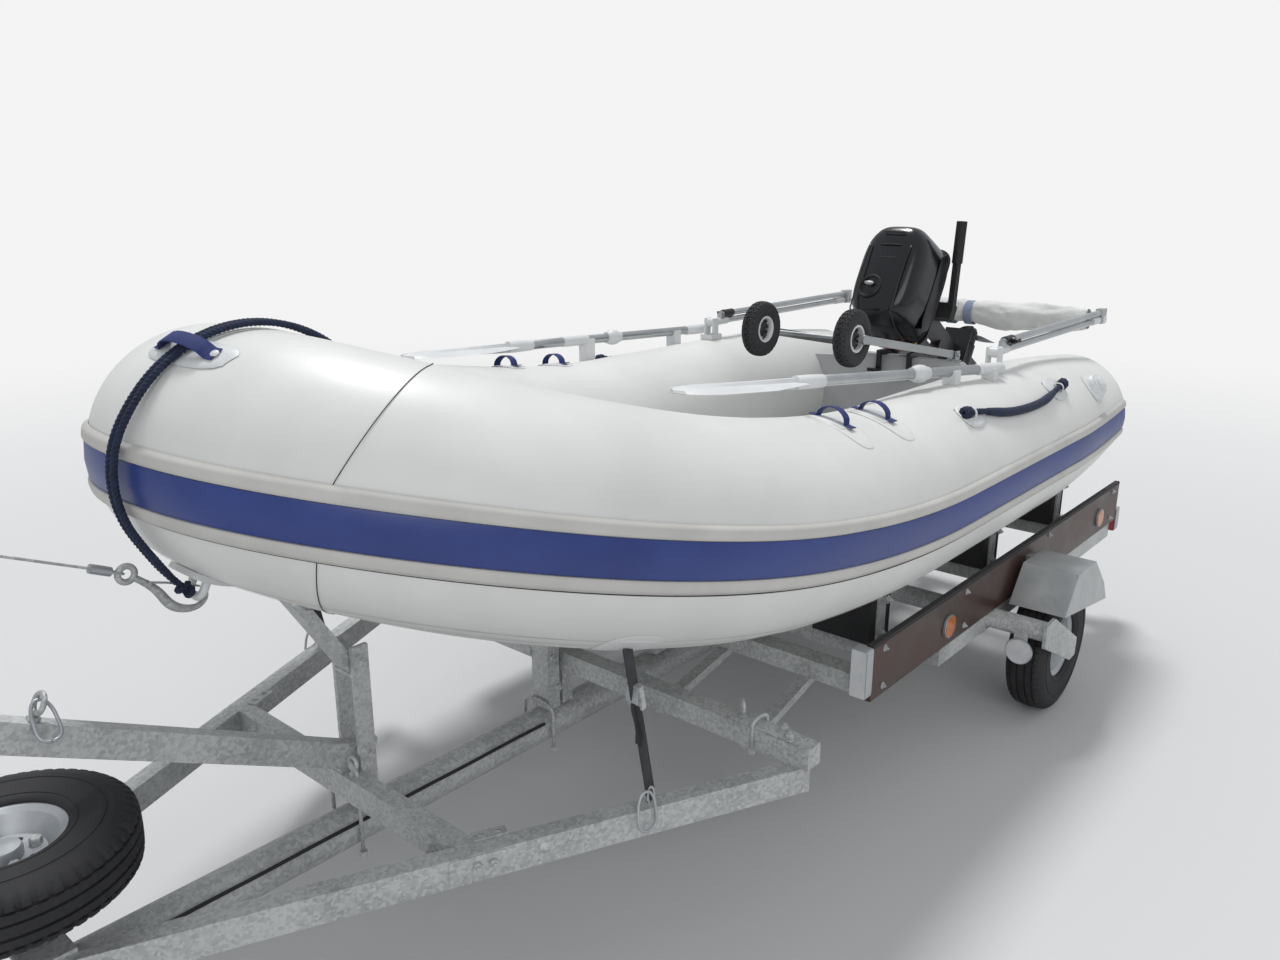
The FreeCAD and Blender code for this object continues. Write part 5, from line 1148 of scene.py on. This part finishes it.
def cowl():
    """The shell, closed by a shallow dome, and the seal at its foot."""
    length = COWL_FORE - COWL_AFT
    rings = []
    for share in between(0, 1, 28):
        rounding = max(0, share - 0.62) / 0.38
        shrink = 0.02 * share + 0.30 * (1 - math.sqrt(max(0, 1 - rounding ** 2.4)))
        half = COWL_HALF * (1 - shrink) * (1 - 0.03 * share)
        x1 = COWL_FORE - length * (shrink * 0.30 + 0.05 * share ** 2)
        x0 = COWL_AFT + length * (shrink * 0.36 + 0.04 * share ** 2)
        ring = []
        for x, y, z in rounded_section(x0, x1, half, COWL_BASE + (COWL_TOP - COWL_BASE) * share):
            panel = 0.0045 * max(0, 1 - (abs(y) / 0.080) ** 8) if share > 0.18 else 0
            ring.append(in_motor(x + (panel if x > (x0 + x1) / 2 else -panel), y, z))
        rings.append(ring)
    centre = (COWL_AFT + COWL_FORE) / 2
    for share in (0.8, 0.55, 0.3, 0.1):
        rings.append([in_motor(centre + (x - centre) * share, y * share,
                               COWL_TOP + 0.011 * (1 - share ** 2))
                      for x, y, z in rounded_section(x0, x1, half, COWL_TOP)])
    shell("cowl_shell", rings, "cowl_black", "motor", ["motor_cowl"])
    seal = [[in_motor(*p) for p in rounded_section(COWL_AFT - grow, COWL_FORE + grow,
                                                   COWL_HALF + grow, COWL_BASE + rise)]
            for rise, grow in ((-0.004, 0.000), (-0.004, 0.0015), (0.006, 0.0030), (0.012, 0.0030),
                               (0.014, 0.0))]
    shell("cowl_seal", seal, "grip_black", "motor", edge=35, ends=False)
    print("cowl")


cowl()

# %% Cowl panel, latch recess and side plates
RECESS_X, RECESS_Y, RECESS_Z = -0.086, -0.030, 0.3725
RECESS = [(0.0440, -0.005), (0.0440, 0.005), (0.0400, 0.0090), (0.0345, 0.0075), (0.0320, 0.0012),
          (0.001, 0.0005)]
PANEL = ((-0.300, 0.150), (-0.030, 0.150), (0.000, 0.190), (-0.040, 0.212), (-0.290, 0.212),
         (-0.318, 0.180))


def ridge_place(k):
    """Places of the panel's edge: up the front, then back over the top."""
    share = 2 * k / 39
    if share < 1:
        return 0.0465 - 0.032 * share ** 3, 0.185 + 0.165 * share
    return 0.010 - 0.26 * (share - 1), 0.3745 + 0.008 * math.sin(math.pi * (share - 1))


def cowl_details():
    """Panel ridges, the latch, the side plates and the vents."""
    for side, tag in SIDES:
        line = [in_motor(x, side * 0.079, z) for x, z in map(ridge_place, range(40))]
        rod("cowl_ridge_" + tag, line, 0.0028, "cowl_black", "motor", 8)
    lathe("latch_recess", in_motor(RECESS_X, RECESS_Y, RECESS_Z), MOTOR_UP, RECESS, "grip_black",
          "motor", 64, shape=lambda radius, place, turn: radius * (1 + 0.05 * math.cos(2 * turn)))
    grip = [in_motor(RECESS_X - 0.010 + 0.0035 * math.cos(y * 90), RECESS_Y + y,
                     0.3835 + 0.004 * math.cos(y * 90)) for y in between(-0.016, 0.016, 12)]
    rod("latch_handle", grip, lambda share: 0.0052 + 0.0024 * math.sin(math.pi * share),
        "rim_silver", "motor")
    lathe("latch_stem", in_motor(RECESS_X - 0.006, RECESS_Y, RECESS_Z), MOTOR_UP,
          [(0.0055, 0), (0.0055, 0.012), (0.001, 0.0125)], "rim_silver", "motor", 16)
    for side, tag in SIDES:
        rings = [[in_motor(-0.160 + (x + 0.160) * grow, side * (0.1228 + out),
                           0.182 + (z - 0.182) * grow) for x, z in PANEL]
                 for grow, out in ((1.0, 0.0), (1.0, 0.0022), (0.93, 0.0032))]
        shell("cowl_side_panel_" + tag, rings, "motor_black", "motor", edge=20)
    for x in (-0.300, -0.250, -0.200):
        line = [in_motor(x, y, 0.3765 - 0.004 * abs(y / 0.05) ** 2) for y in between(-0.04, 0.04, 12)]
        rod("cowl_vent_%d" % round(-x * 1000), line, 0.0024, "grip_black", "motor", 6)
    print("cowl details")


cowl_details()

# %% Fuel and starter lines in the gap below the front of the cowl
LINES = {
    "fuel_hose": ("hose_red", 0.0050, [
        (0.030, -0.060, 0.165), (0.052, -0.050, 0.160), (0.060, -0.010, 0.172), (0.056, 0.030, 0.160),
        (0.034, 0.045, 0.150)]),
    "fuel_hose_return": ("hose_red", 0.0042, [
        (0.030, 0.010, 0.172), (0.058, 0.022, 0.180), (0.064, 0.055, 0.168), (0.050, 0.080, 0.150),
        (0.028, 0.084, 0.145)]),
    "starter_line": ("rope_grey", 0.0028, [
        (0.028, -0.085, 0.170), (0.056, -0.070, 0.180), (0.060, -0.030, 0.186), (0.030, -0.015, 0.180)]),
    "choke_pipe": ("brass", 0.0036, [
        (0.030, 0.060, 0.178), (0.056, 0.070, 0.172), (0.058, 0.095, 0.166), (0.026, 0.102, 0.160)])}
for name, (slot, radius, stops) in LINES.items():
    line = even_points(nurbs_line(name, [in_motor(*stop) for stop in stops]), ROPE_STEP)
    rod(name, line, radius, slot, "motor")
print("lines below the cowl")

# %% [markdown]
# ## Road wheels
# A tyre is a turned section whose tread is cut by four grooves round it and by short cross cuts at
# the shoulders. The cross cuts come from the turning angle: every few degrees the shoulder of the
# section drops by a few millimetres.


# %% Tyres with their tread
def mirrored(half):
    """A section and its mirror image, from one side to the other."""
    return half + [(radius, -place) for radius, place in reversed(half)]


TREAD = mirrored([
    (0.101, 0.046), (0.104, 0.050), (0.112, 0.0525), (0.130, 0.0560), (0.152, 0.0578),
    (0.168, 0.0572), (0.172, 0.0580), (0.176, 0.0570), (0.190, 0.0535), (0.200, 0.0490),
    (0.2055, 0.0440), (0.2085, 0.0400), (0.2100, 0.0345), (0.2052, 0.0335), (0.2052, 0.0300),
    (0.2108, 0.0290), (0.2116, 0.0150), (0.2066, 0.0140), (0.2066, 0.0100), (0.2118, 0.0090)])
WALL_LINES = ((0.1165, 0.0500, 0.0545), (0.1600, 0.0530, 0.0588))


def tread_cut(radius, place, turn):
    """Blocks at the shoulders and fine cuts in the middle."""
    shoulder = 0.194 < radius and abs(place) > 0.0338
    block = math.sin(turn * 56 + (0.8 if place > 0 else 0)) > 0.62
    fine = radius > 0.2107 and math.sin(turn * 84 + place * 160) > 0.86
    return radius - (0.0042 if shoulder and block else 0) - (0.0022 if fine else 0)


def road_tyre(tag, centre, axis, body):
    """The tyre with two moulded lines on each wall."""
    lathe("tyre_tread_" + tag, centre, axis, TREAD, "road_tyre", body, 336, ["tyre_" + tag],
          tread_cut, hollow=True)
    for side in (1, -1):
        for radius, low, top in WALL_LINES:
            lathe("tyre_line_%s_%d_%d" % (tag, radius * 1000, side > 0), centre, axis,
                  [(radius - 0.0016, side * low), (radius - 0.0008, side * top),
                   (radius + 0.0008, side * top), (radius + 0.0016, side * low)],
                  "road_tyre", body, 96, hollow=True)


print("tread section of", len(TREAD), "points")

# %% Nuts, hub caps and valves, and the three wheels
NUT_CIRCLE, NUT_SIZE, VALVE_CIRCLE = 0.050, 0.019, 0.086


def hexagon(centre, axis, across, low, high, points=None, faces=None, sides=6):
    """A nut or bolt head: a chamfered prism, added to a list of points and faces."""
    axis, side, up = arms(axis)
    reach = across / 2 / math.cos(math.pi / sides)
    rings = [circle(Vector(centre) + axis * place, side, up, reach * share, sides)
             for share, place in ((1, low), (1, high - (high - low) * 0.15), (0.86, high))]
    return skin(rings, points=points, faces=faces)


def wheel_details(tag, centre, axis, body, face):
    """Hub cap, wheel nuts and valve on the outer face, which lies at a distance along the axis."""
    axis, side, up = arms(axis)
    centre = Vector(centre)
    points, faces = [], []
    for k in range(4):
        turn = math.radians(45 + 90 * k)
        spot = centre + (side * math.cos(turn) + up * math.sin(turn)) * NUT_CIRCLE
        hexagon(spot, axis, NUT_SIZE, face - 0.004, face + 0.013, points, faces)
    piece("wheel_nuts_" + tag, points, faces, "galvanised", body, edge=20)
    cap = ((0.030, -0.004), (0.030, 0.014), (0.027, 0.020), (0.012, 0.0225), (0.001, 0.023))
    lathe("hub_cap_" + tag, centre, axis, [(radius, face + rise) for radius, rise in cap],
          "rim_silver", body)
    lathe("wheel_valve_" + tag, centre + side * VALVE_CIRCLE + axis * (face - 0.006), axis + side * 0.35,
          [(0.0055, 0), (0.0055, 0.006), (0.004, 0.008), (0.004, 0.022), (0.0046, 0.023),
           (0.0046, 0.032), (0.001, 0.0325)], "grip_black", body, 16)


def rim_face(node, centre, axis):
    """How far the rim's disc reaches along an axis, measured on the CAD mesh near the nut circle."""
    obj = nodes[node]
    axis = Vector(axis).normalized()
    reach = -1.0
    for vertex in obj.data.vertices:
        offset = obj.matrix_world @ vertex.co - Vector(centre)
        place = offset.dot(axis)
        if 0.020 < (offset - axis * place).length < 0.062:
            reach = max(reach, place)
    return reach


WHEELS = (("port", (-1.020, 0.805, 0.212), (0, 1, 0), "wheel_port"),
          ("starboard", (-1.020, -0.805, 0.212), (0, -1, 0), "wheel_starboard"),
          ("spare", (1.650, 0.0, 0.508), (0, 0, 1), ROOT))
for tag, centre, axis, body in WHEELS:
    road_tyre(tag, centre, axis, body)
    face = rim_face("rim_" + tag, centre, axis)
    wheel_details(tag, centre, axis, body, face)
    print("wheel", tag, "face at", round(face, 4))

# %% [markdown]
# ## Launching wheels
# They are small pneumatic wheels with a block tread and a pale plastic rim. The block tread is a
# turned section again, cut in a checker of blocks round the crown.

# %% Knobbly tyres, rims and axle ends
KNOBBLY = mirrored([
    (0.0425, 0.0150), (0.0440, 0.0195), (0.0500, 0.0232), (0.0600, 0.0250), (0.0720, 0.0246),
    (0.0820, 0.0222), (0.0842, 0.0212), (0.0880, 0.0180), (0.0902, 0.0128), (0.0914, 0.0064),
    (0.0916, 0.0056), (0.0916, 0.0012), (0.0916, 0.0004)])
SMALL_RIM = ((0.0445, 0.0140), (0.0448, 0.0190), (0.0425, 0.0212), (0.0375, 0.0205),
             (0.0350, 0.0170), (0.0345, 0.0060), (0.0380, 0.0050))
SMALL_WEB = mirrored([(0.0360, 0.0060), (0.0260, 0.0070), (0.0200, 0.0150), (0.0135, 0.0195),
                      (0.0095, 0.0195)])


def blocks(radius, place, turn):
    """A checker of blocks: each row is half a block further round than its neighbour."""
    if radius < 0.0835:
        return radius
    row = sum(abs(place) >= edge for edge in (0.0010, 0.0060, 0.0125))
    groove = math.sin(turn * 30 + (math.pi if row % 2 else 0) + (0.6 if place > 0 else 0)) > 0.45
    return radius - (0.0040 if groove else 0)


def launching_wheel(side, tag):
    """One small wheel, with the end of its axle and the nut on it."""
    body = "launch_wheel_%s_body" % tag
    axis = (0, side, 0)
    centre = Vector((-0.810, 0.172 * side, 1.130))
    lathe("launch_tyre_" + tag, centre, axis, KNOBBLY, "small_tyre", body, 240,
          ["launch_wheel_" + tag], blocks, hollow=True)
    for face in (1, -1):
        lathe("launch_rim_%s_%d" % (tag, face > 0), centre, axis,
              [(radius, place * face) for radius, place in SMALL_RIM], "fitting_white", body, 64,
              hollow=True)
    lathe("launch_web_" + tag, centre, axis, SMALL_WEB, "motor_black", body, 64)
    points, faces = [], []
    for t in turns(5):
        for face in (side, -side):
            hexagon(centre + Vector((0.029 * math.cos(t), face * 0.0062, 0.029 * math.sin(t))),
                    (0, face, 0), 0.0075, 0, 0.0045, points, faces)
    piece("launch_rim_bolts_" + tag, points, faces, "galvanised", body, edge=20)
    piece("launch_axle_nut_" + tag, *hexagon(centre, axis, 0.0150, 0.0262, 0.0335), "galvanised",
          edge=20)
    lathe("launch_axle_end_" + tag, centre, axis,
          [(0.0045, 0.020), (0.0045, 0.040), (0.0035, 0.0415), (0.001, 0.0418)], "leg_alloy", ROOT, 16)


for side, tag in SIDES:
    launching_wheel(side, tag)
print("launching wheels")

# %% [markdown]
# ## Winch hook
# The hook is forged: thick at its belly, thin at its tip, and flattened a little. A sprung latch
# closes its mouth so that the ring can't jump out. Its width along the line comes from a formula.

# %% Forged hook with its latch
HOOK_LINE = [(1.3785, 0.0, 0.9335), (1.3600, 0.0, 0.9180), (1.3400, 0.0, 0.8960), (1.3230, 0.0, 0.8630),
             (1.2980, 0.0, 0.8470), (1.2720, 0.0, 0.8440), (1.2550, 0.0, 0.8560), (1.2530, 0.0, 0.8720),
             (1.2590, 0.0, 0.8850)]
LATCH_LINE = [(1.3520, 0, 0.9160), (1.3200, 0, 0.9060), (1.2870, 0, 0.8920), (1.2640, 0, 0.8830)]
HOOK_EYE, WINCH_DRUM = Vector((1.3900, 0, 0.9430)), Vector((1.782, 0, 1.126))
FERRULE = [(0.0042, 0.026), (0.0085, 0.0275), (0.0088, 0.046), (0.0085, 0.0645), (0.0042, 0.066)]


def hook_ring(line, index):
    """A section of the hook at one point of its line."""
    across = Vector((0, 1, 0))
    up = ahead_at(line, index).cross(across)
    share = index / (len(line) - 1)
    deep = 0.0062 + 0.0042 * math.sin(math.pi * min(1, share * 1.1)) ** 2 - 0.0028 * share
    wide = 0.0060 + 0.0014 * math.sin(math.pi * share)
    tip = max(0, share - 0.93)
    return circle(line[index], across * wide * (1 - tip * 6), up * deep * (1 - tip * 8), 1, 20)


def forged_hook():
    """Hook, eye, latch and the end of the cable."""
    line = even_points(nurbs_line("hook", HOOK_LINE), 0.003)
    shell("hook_body", [hook_ring(line, index) for index in range(len(line))], "galvanised",
          replaces=["winch_hook"])
    ring = loop_line(HOOK_EYE, Vector((1, 0, 0)), Vector((0, 0, 1)), 0.0145, 40)
    rod("hook_eye", ring, 0.0058, sides=14)
    latch = even_points([Vector(p) for p in LATCH_LINE], 0.004)
    strap("hook_latch", latch, (0, 1, 0), 0.0095, 0.0022, "rim_silver")
    points, faces = [], []
    for side in (1, -1):
        hexagon((1.3540, 0, 0.9160), (0, side, 0), 0.0075, 0.0050, 0.0085, points, faces, 12)
    piece("hook_pin", points, faces, "galvanised")
    toward = (WINCH_DRUM - HOOK_EYE).normalized()
    lathe("cable_ferrule", HOOK_EYE, toward, FERRULE, "rim_silver", sides=24)
    bight = [HOOK_EYE + toward * (0.030 - 0.0250 * math.sin(t)) + Vector((0, 0.0075 * math.cos(t), 0))
             for t in between(0, math.pi, 24)]
    rod("cable_loop", bight, 0.0024, sides=10)
    print("hook")


forged_hook()

# %% [markdown]
# ## Foil-wrapped bow pad
# The pad under the bow is a length of pipe foam wrapped in crumpled foil tape. Creased foil is made
# of flat facets with sharp folds between them, which a distance-to-nearest-point noise gives.

# %% Crumpled pad
PAD_CENTRE, PAD_HALF, PAD_RADIUS = Vector((1.108, 0, 0.847)), 0.1195, 0.0312


def crumple(spot, size):
    """How far a fold stands out at a place."""
    near = noise.voronoi(spot, distance_metric="DISTANCE", exponent=2.5)[0]
    return (near[1] - near[0]) * size


def pad_ring(y):
    """One ring of crumpled foil, drawn in at the ends of the pad."""
    end = 1 - 0.10 * max(0, (abs(y) - 0.105) / 0.0145) ** 2
    ring = []
    for t in turns(128):
        spot = Vector((math.cos(t) * 2.2, y * 62, math.sin(t) * 2.2))
        reach = (PAD_RADIUS + crumple(spot, 0.0045) + crumple(spot * 2.7, 0.0016)) * end
        ring.append(PAD_CENTRE + Vector((reach * math.cos(t), y, reach * math.sin(t))))
    return ring


pad = shell("foil_pad", [pad_ring(y) for y in between(-PAD_HALF, PAD_HALF, 120)], "pad_foil",
            replaces=["bow_support"])
print("foil pad")

# %% [markdown]
# ## Tie straps
# A woven strap holds each side of the boat down. It has a cam buckle, and a loose tail lies
# along the strap below it.


# %% Buckles and tails
def strap_line(side):
    """The strap's upper and lower end on one side, measured on the CAD mesh."""
    obj = nodes["tie_straps"]
    spots = [obj.matrix_world @ vertex.co for vertex in obj.data.vertices]
    spots = [p for p in spots if p.y * side > 0]
    top, foot = max(p.z for p in spots), min(p.z for p in spots)
    high = [p for p in spots if p.z > top - 0.02]
    low = [p for p in spots if p.z < foot + 0.01]
    return sum(high, Vector()) / len(high), sum(low, Vector()) / len(low)


def strap_fittings(side, tag):
    """Buckle, lever, tail and link on one strap."""
    top, foot = strap_line(side)
    along = (foot - top).normalized()
    across = (Vector((0, 1, 0)) - along * along.y).normalized()
    front = along.cross(across)
    if front.x < 0:
        front = -front
    centre = top.lerp(foot, 0.30)

    def at(u, v, w):
        """A place along, across and in front of the strap."""
        return centre + along * u + across * v + front * w

    shell("cam_buckle_" + tag, [[at(u, v, w) for u, v in ((-0.026, -0.018), (-0.026, 0.018),
                                                         (0.026, 0.018), (0.026, -0.018))]
                                for w in (-0.006, 0.004, 0.0055)], "galvanised", edge=20)
    shell("cam_lever_" + tag, [[at(u, v, w) for u, w in ((-0.020, 0.006), (0.006, 0.016),
                                                        (0.010, 0.013), (-0.016, 0.0045))]
                               for v in (-0.014, 0.014)], "rim_silver", edge=20)
    tail = [at(0.02 + 0.012 * k, 0.002 * math.sin(k * 0.5), 0.006 + 0.0022 * math.sin(k * 0.9))
            for k in range(9)]
    strap("strap_tail_" + tag, tail, across, 0.024, 0.0018, "strap_grey")
    link = loop_line(foot - along * 0.010, along * 2.2, front, 0.010, 32)
    rod("strap_link_" + tag, link, 0.0032, sides=10)


for side, tag in SIDES:
    strap_fittings(side, tag)
print("strap fittings")

# %% [markdown]
# ## Bolts, nuts and plates of the trailer
# A bolted trailer is read by its fasteners. Every fastener is one row of a table: where it is, which
# way it points and its size across the flats. They are joined into a few pieces.


# %% Fastener table
def bolts_piece(name, rows):
    """A washer, a nut and a bolt end for each row."""
    points, faces = [], []
    for centre, axis, size in rows:
        hexagon(centre, axis, size * 1.9, 0.0, 0.0015, points, faces, 20)
        hexagon(centre, axis, size, 0.0015, 0.0015 + size * 0.62, points, faces)
        hexagon(centre, axis, size * 0.56, 0.0015 + size * 0.62, 0.003 + size * 0.85, points, faces, 12)
    piece(name, points, faces, "galvanised", edge=20)
    print(name, len(rows))


FRAME_BOLTS = []
for side in (1, -1):
    FRAME_BOLTS += [((1.0225, 0.330 * side, z), (1, 0, 0), 0.015) for z in (0.338, 0.362)]
    FRAME_BOLTS += [((x, y * side, z), (0, side, 0), size) for x, y, z, size in (
        (0.962, 0.0392, 0.340, 0.017), (0.962, 0.0392, 0.630, 0.017), (0.380, 0.0302, 0.340, 0.016),
        (0.400, 0.0302, 0.430, 0.016), (0.390, 0.0302, 0.5135, 0.016), (-0.250, 0.6340, 0.549, 0.012),
        (-0.250, 0.6192, 0.452, 0.014), (-0.980, 0.6340, 0.549, 0.012), (-0.980, 0.6192, 0.452, 0.014),
        (-1.560, 0.6340, 0.567, 0.012), (-1.560, 0.6192, 0.452, 0.014))]
    FRAME_BOLTS += [((x, 0.7182 * side, z), (0, side, 0), 0.009)
                    for x in (-0.080, -0.560, -1.200, -1.850) for z in (0.395, 0.497)]
bolts_piece("frame_bolts", FRAME_BOLTS)

# %% U-bolts round the spine
U_BOLT_RADIUS = 0.0045


def u_bolt(name, centre, across, half, drop):
    """A U-bolt round a bar, with nuts on its legs."""
    centre, across, up = Vector(centre), Vector(across).normalized(), Vector((0, 0, 1))
    feet = [centre + across * half * side - up * drop for side in (1, -1)]
    arch = [centre + across * half * math.cos(t) + up * half * 0.45 * math.sin(t)
            for t in between(0, math.pi, 12)]
    rod(name, [feet[0], *arch, feet[1]], U_BOLT_RADIUS)
    points, faces = [], []
    for foot in feet:
        hexagon(foot, -up, U_BOLT_RADIUS * 3.4, -0.012, 0.0, points, faces)
    piece(name + "_nuts", points, faces, "galvanised", edge=20)


u_bolt("spine_u_bolt_front", (1.0022, 0, 0.3830), (0, 1, 0), 0.0520, 0.200)
u_bolt("spine_u_bolt_keel", (0.4180, 0, 0.2830), (0, 1, 0), 0.0520, 0.105)
print("U-bolts")


# %% Plates, eye bolts and clips
def plate(name, centre, normal, along, long, wide, thick):
    """A flat plate with chamfered edges."""
    normal, along = Vector(normal).normalized(), Vector(along).normalized()
    across = normal.cross(along)
    rings = [[Vector(centre) + along * bent(math.cos(t), 0.22) * long / 2 * grow
              + across * bent(math.sin(t), 0.22) * wide / 2 * grow + normal * rise
              for t in turns(24, 0.5)] for grow, rise in ((1, 0), (1, thick * 0.8), (0.97, thick))]
    shell(name, rings, "galvanised", edge=30)


def eye_bolt(name, foot, way_out, ring_side, size=0.012):
    """A threaded eye: a short shank, a ring and a nut."""
    foot, way_out = Vector(foot), Vector(way_out).normalized()
    ring = loop_line(foot + way_out * size * 2.1, way_out, Vector(ring_side).normalized(),
                     size * 1.25, 32)
    points, faces = skin(along_path(ring, size * 0.36, 12))
    skin(along_path([foot - way_out * 0.004, foot + way_out * size * 0.95], size * 0.40, 12),
         points=points, faces=faces)
    hexagon(foot, way_out, size * 1.45, 0, size * 0.55, points, faces)
    piece(name, points, faces, "galvanised", edge=40)


def carabiner(name, centre, along, out, long):
    """A snap link: a long ring, wider at one end."""
    along, out = Vector(along).normalized(), Vector(out).normalized()
    ring = [Vector(centre) + along * long / 2 * bent(math.cos(t), 0.7)
            + out * long * (0.25 + 0.05 * math.cos(t)) * bent(math.sin(t), 0.8)
            for t in between(0, 2 * math.pi, 48)]
    rod(name, ring, 0.0032, "rim_silver")


BEAM_SLOPE, BEAM_START, BEAM_HALF = math.radians(27.035), Vector((0.986, 0, 0.405)), 0.0275
beam_along = Vector((math.cos(BEAM_SLOPE), 0, math.sin(BEAM_SLOPE)))
beam_up = Vector((-beam_along.z, 0, beam_along.x))
beam_spot = BEAM_START + beam_along * 0.672 + beam_up * BEAM_HALF
eye_bolt("beam_eye_bolt", beam_spot, beam_up, (0, 1, 0), 0.014)
link_hangs = Vector((0.05, 0.85, -1)).normalized()
carabiner("beam_snap_link", beam_spot + beam_up * 0.0294 + link_hangs * 0.031, link_hangs,
          (1, 0.0, 0.1), 0.075)
eye_bolt("crossbar_eye_bolt", (1.0026, 0.040, 0.3802), (0, 0, 1), (0, 1, 0))
print("plates and eyes")

# %% Hardware on the front bars
RAIL_OUT = Vector((0.4242, 0.9056, 0.0))
RAIL_ALONG = Vector((0.9056, -0.4242, 0.0))
UP = (0, 0, 1)


def drilled_tab(name, centre, along, normal):
    """A small plate with two holes: a flat curve filled between its outline and the holes."""
    along, normal = Vector(along).normalized(), Vector(normal).normalized()
    board = bpy.data.curves.new(name, "CURVE")
    board.dimensions = "2D"
    board.fill_mode = "BOTH"
    board.extrude, board.bevel_depth = 0.0016, 0.0004
    loops = [[(-0.034, -0.013), (0.034, -0.013), (0.034, 0.013), (-0.034, 0.013)]]
    loops += [[(hole + 0.0072 * math.cos(t), 0.0072 * math.sin(t)) for t in turns(20)]
              for hole in (-0.017, 0.017)]
    for loop in loops:
        spline = board.splines.new("POLY")
        spline.points.add(len(loop) - 1)
        for spot, (x, y) in zip(spline.points, loop):
            spot.co = (x, y, 0, 1)
        spline.use_cyclic_u = True
    vertices, polygons = curve_mesh(name, board)
    turned = Matrix((along, normal.cross(along), normal)).transposed()
    points = [Vector(centre) + normal * 0.002 + turned @ vertex.co for vertex in vertices]
    piece(name, points, [tuple(face.vertices) for face in polygons], "galvanised", edge=30)


def front_hardware(side, tag):
    """Plates, clamps and snap links on one side."""
    def at(x, y, z):
        """A place on this side."""
        return Vector((x, y * side, z))

    out, along = RAIL_OUT * FLIP[side], RAIL_ALONG * FLIP[side]
    plate("clamp_plate_" + tag, at(0.335, 0.655, 0.4302), UP, (0, 1, 0), 0.190, 0.044, 0.004)
    eye_bolt("clamp_eye_" + tag, at(0.335, 0.585, 0.4345), UP, at(0.7, 0.7, 0))
    u_bolt("clamp_u_bolt_" + tag, at(0.335, 0.632, 0.4380), (1, 0, 0), 0.0290, 0.066)
    bolts_piece("rail_bolts_" + tag, [
        (at(0.324, 0.690, 0.4345), UP, 0.017), (at(0.346, 0.718, 0.4345), UP, 0.017),
        (at(1.0132, 0.4521, 0.358), out, 0.017), (at(0.984, 0.4658, 0.357), out, 0.017)])
    lathe("rail_round_bolt_" + tag, at(0.8893, 0.5101, 0.3565), out,
          [(0.0135, -0.001), (0.0132, 0.002), (0.010, 0.005), (0.005, 0.0068), (0.001, 0.0072)],
          "galvanised", sides=32)
    plate("rail_joint_plate_" + tag, at(1.010, 0.4540, 0.352), out, along, 0.115, 0.052, 0.0035)
    drilled_tab("rail_tab_" + tag, at(0.955, 0.4240, 0.3805), along, UP)
    carabiner("strap_snap_" + tag, at(0.698, 0.6085, 0.382), at(0.05, 0.12, -1), at(1, -0.3, 0), 0.084)


for side, tag in SIDES:
    front_hardware(side, tag)
bolts_piece("post_bolts", [((0.951, 0.0392, 0.437), (0, 1, 0), 0.015),
                           ((0.958, 0.0392, 0.411), (0, 1, 0), 0.015),
                           ((0.975, 0.0392, 0.428), (0, 1, 0), 0.015)])

# %% [markdown]
# ## Lamps and boards
# Each lens sits in a shallow housing with a bright edge. The brown boards have a painted edge
# strip along their tops, where weather has darkened the cut wood.


# %% Lens rims and board edges
def boxes_of(node):
    """Boxes of the separate parts of a CAD node, always in the same order."""
    obj = nodes[node]
    mesh = bmesh.new()
    mesh.from_mesh(obj.data)
    bmesh.ops.remove_doubles(mesh, verts=mesh.verts, dist=0.00005)
    left = set(mesh.verts)
    found = []
    while left:
        cluster = [left.pop()]
        for vertex in cluster:
            for edge in vertex.link_edges:
                other = edge.other_vert(vertex)
                if other in left:
                    left.discard(other)
                    cluster.append(other)
        spots = [obj.matrix_world @ vertex.co for vertex in cluster]
        found.append([Vector([pick(p[i] for p in spots) for i in range(3)]) for pick in (min, max)])
    mesh.free()
    return sorted(found, key=lambda box: tuple(round(v, 4) for v in box[0]))


def lens_rim(name, low, high, red):
    """A bright rim round a lens, round or square as the lens is."""
    centre, half = (low + high) / 2, (high - low) / 2
    thin = min(range(3), key=lambda i: half[i])
    first, second = [i for i in range(3) if i != thin]
    outward = 1 if (thin == 1 and centre.y > 0) or (thin == 0 and centre.x > -1.0) else -1
    power = 1.0 if abs(half[first] - half[second]) < 0.002 and not red else 0.16
    rings = []
    for grow, rise in ((0.0030, -0.9), (0.0030, 0.55), (0.0018, 0.82), (0.0002, 0.72),
                       (0.0002, -0.9)):
        ring = []
        for t in turns(64, 0.5):
            spot = centre.copy()
            spot[first] += bent(math.cos(t), power) * (half[first] + grow)
            spot[second] += bent(math.sin(t), power) * (half[second] + grow)
            spot[thin] += outward * rise * half[thin]
            ring.append(spot)
        rings.append(ring)
    shell(name, rings + rings[:1], "rim_silver", edge=30, ends=False)


count = 0
for node in ("lamp_amber", "lamp_white", "lamp_red"):
    for low, high in boxes_of(node):
        lens_rim("%s_rim_%d" % (node, count), low, high, node == "lamp_red")
        count += 1
print("lens rims", count)

BOARD_EDGE = ((0.6995, 0.512), (0.7185, 0.512), (0.7188, 0.5180), (0.7160, 0.5215),
              (0.7020, 0.5215), (0.6992, 0.5180))
for side, tag in SIDES:
    shell("board_edge_" + tag, [[Vector((x, y * side, z)) for y, z in BOARD_EDGE]
                                for x in (-1.9205, -0.0195)], "pad_rubber", edge=30)
print("board edges")

# %% [markdown]
# ## Close the scene
# The corners of the box round every shown piece, the floor left out, are measured and printed.
# The dressed boat may not grow out of its CAD box.

# %% Sizes and finish
low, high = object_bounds()
print("visual box", [round(v, 3) for v in low], [round(v, 3) for v in high])
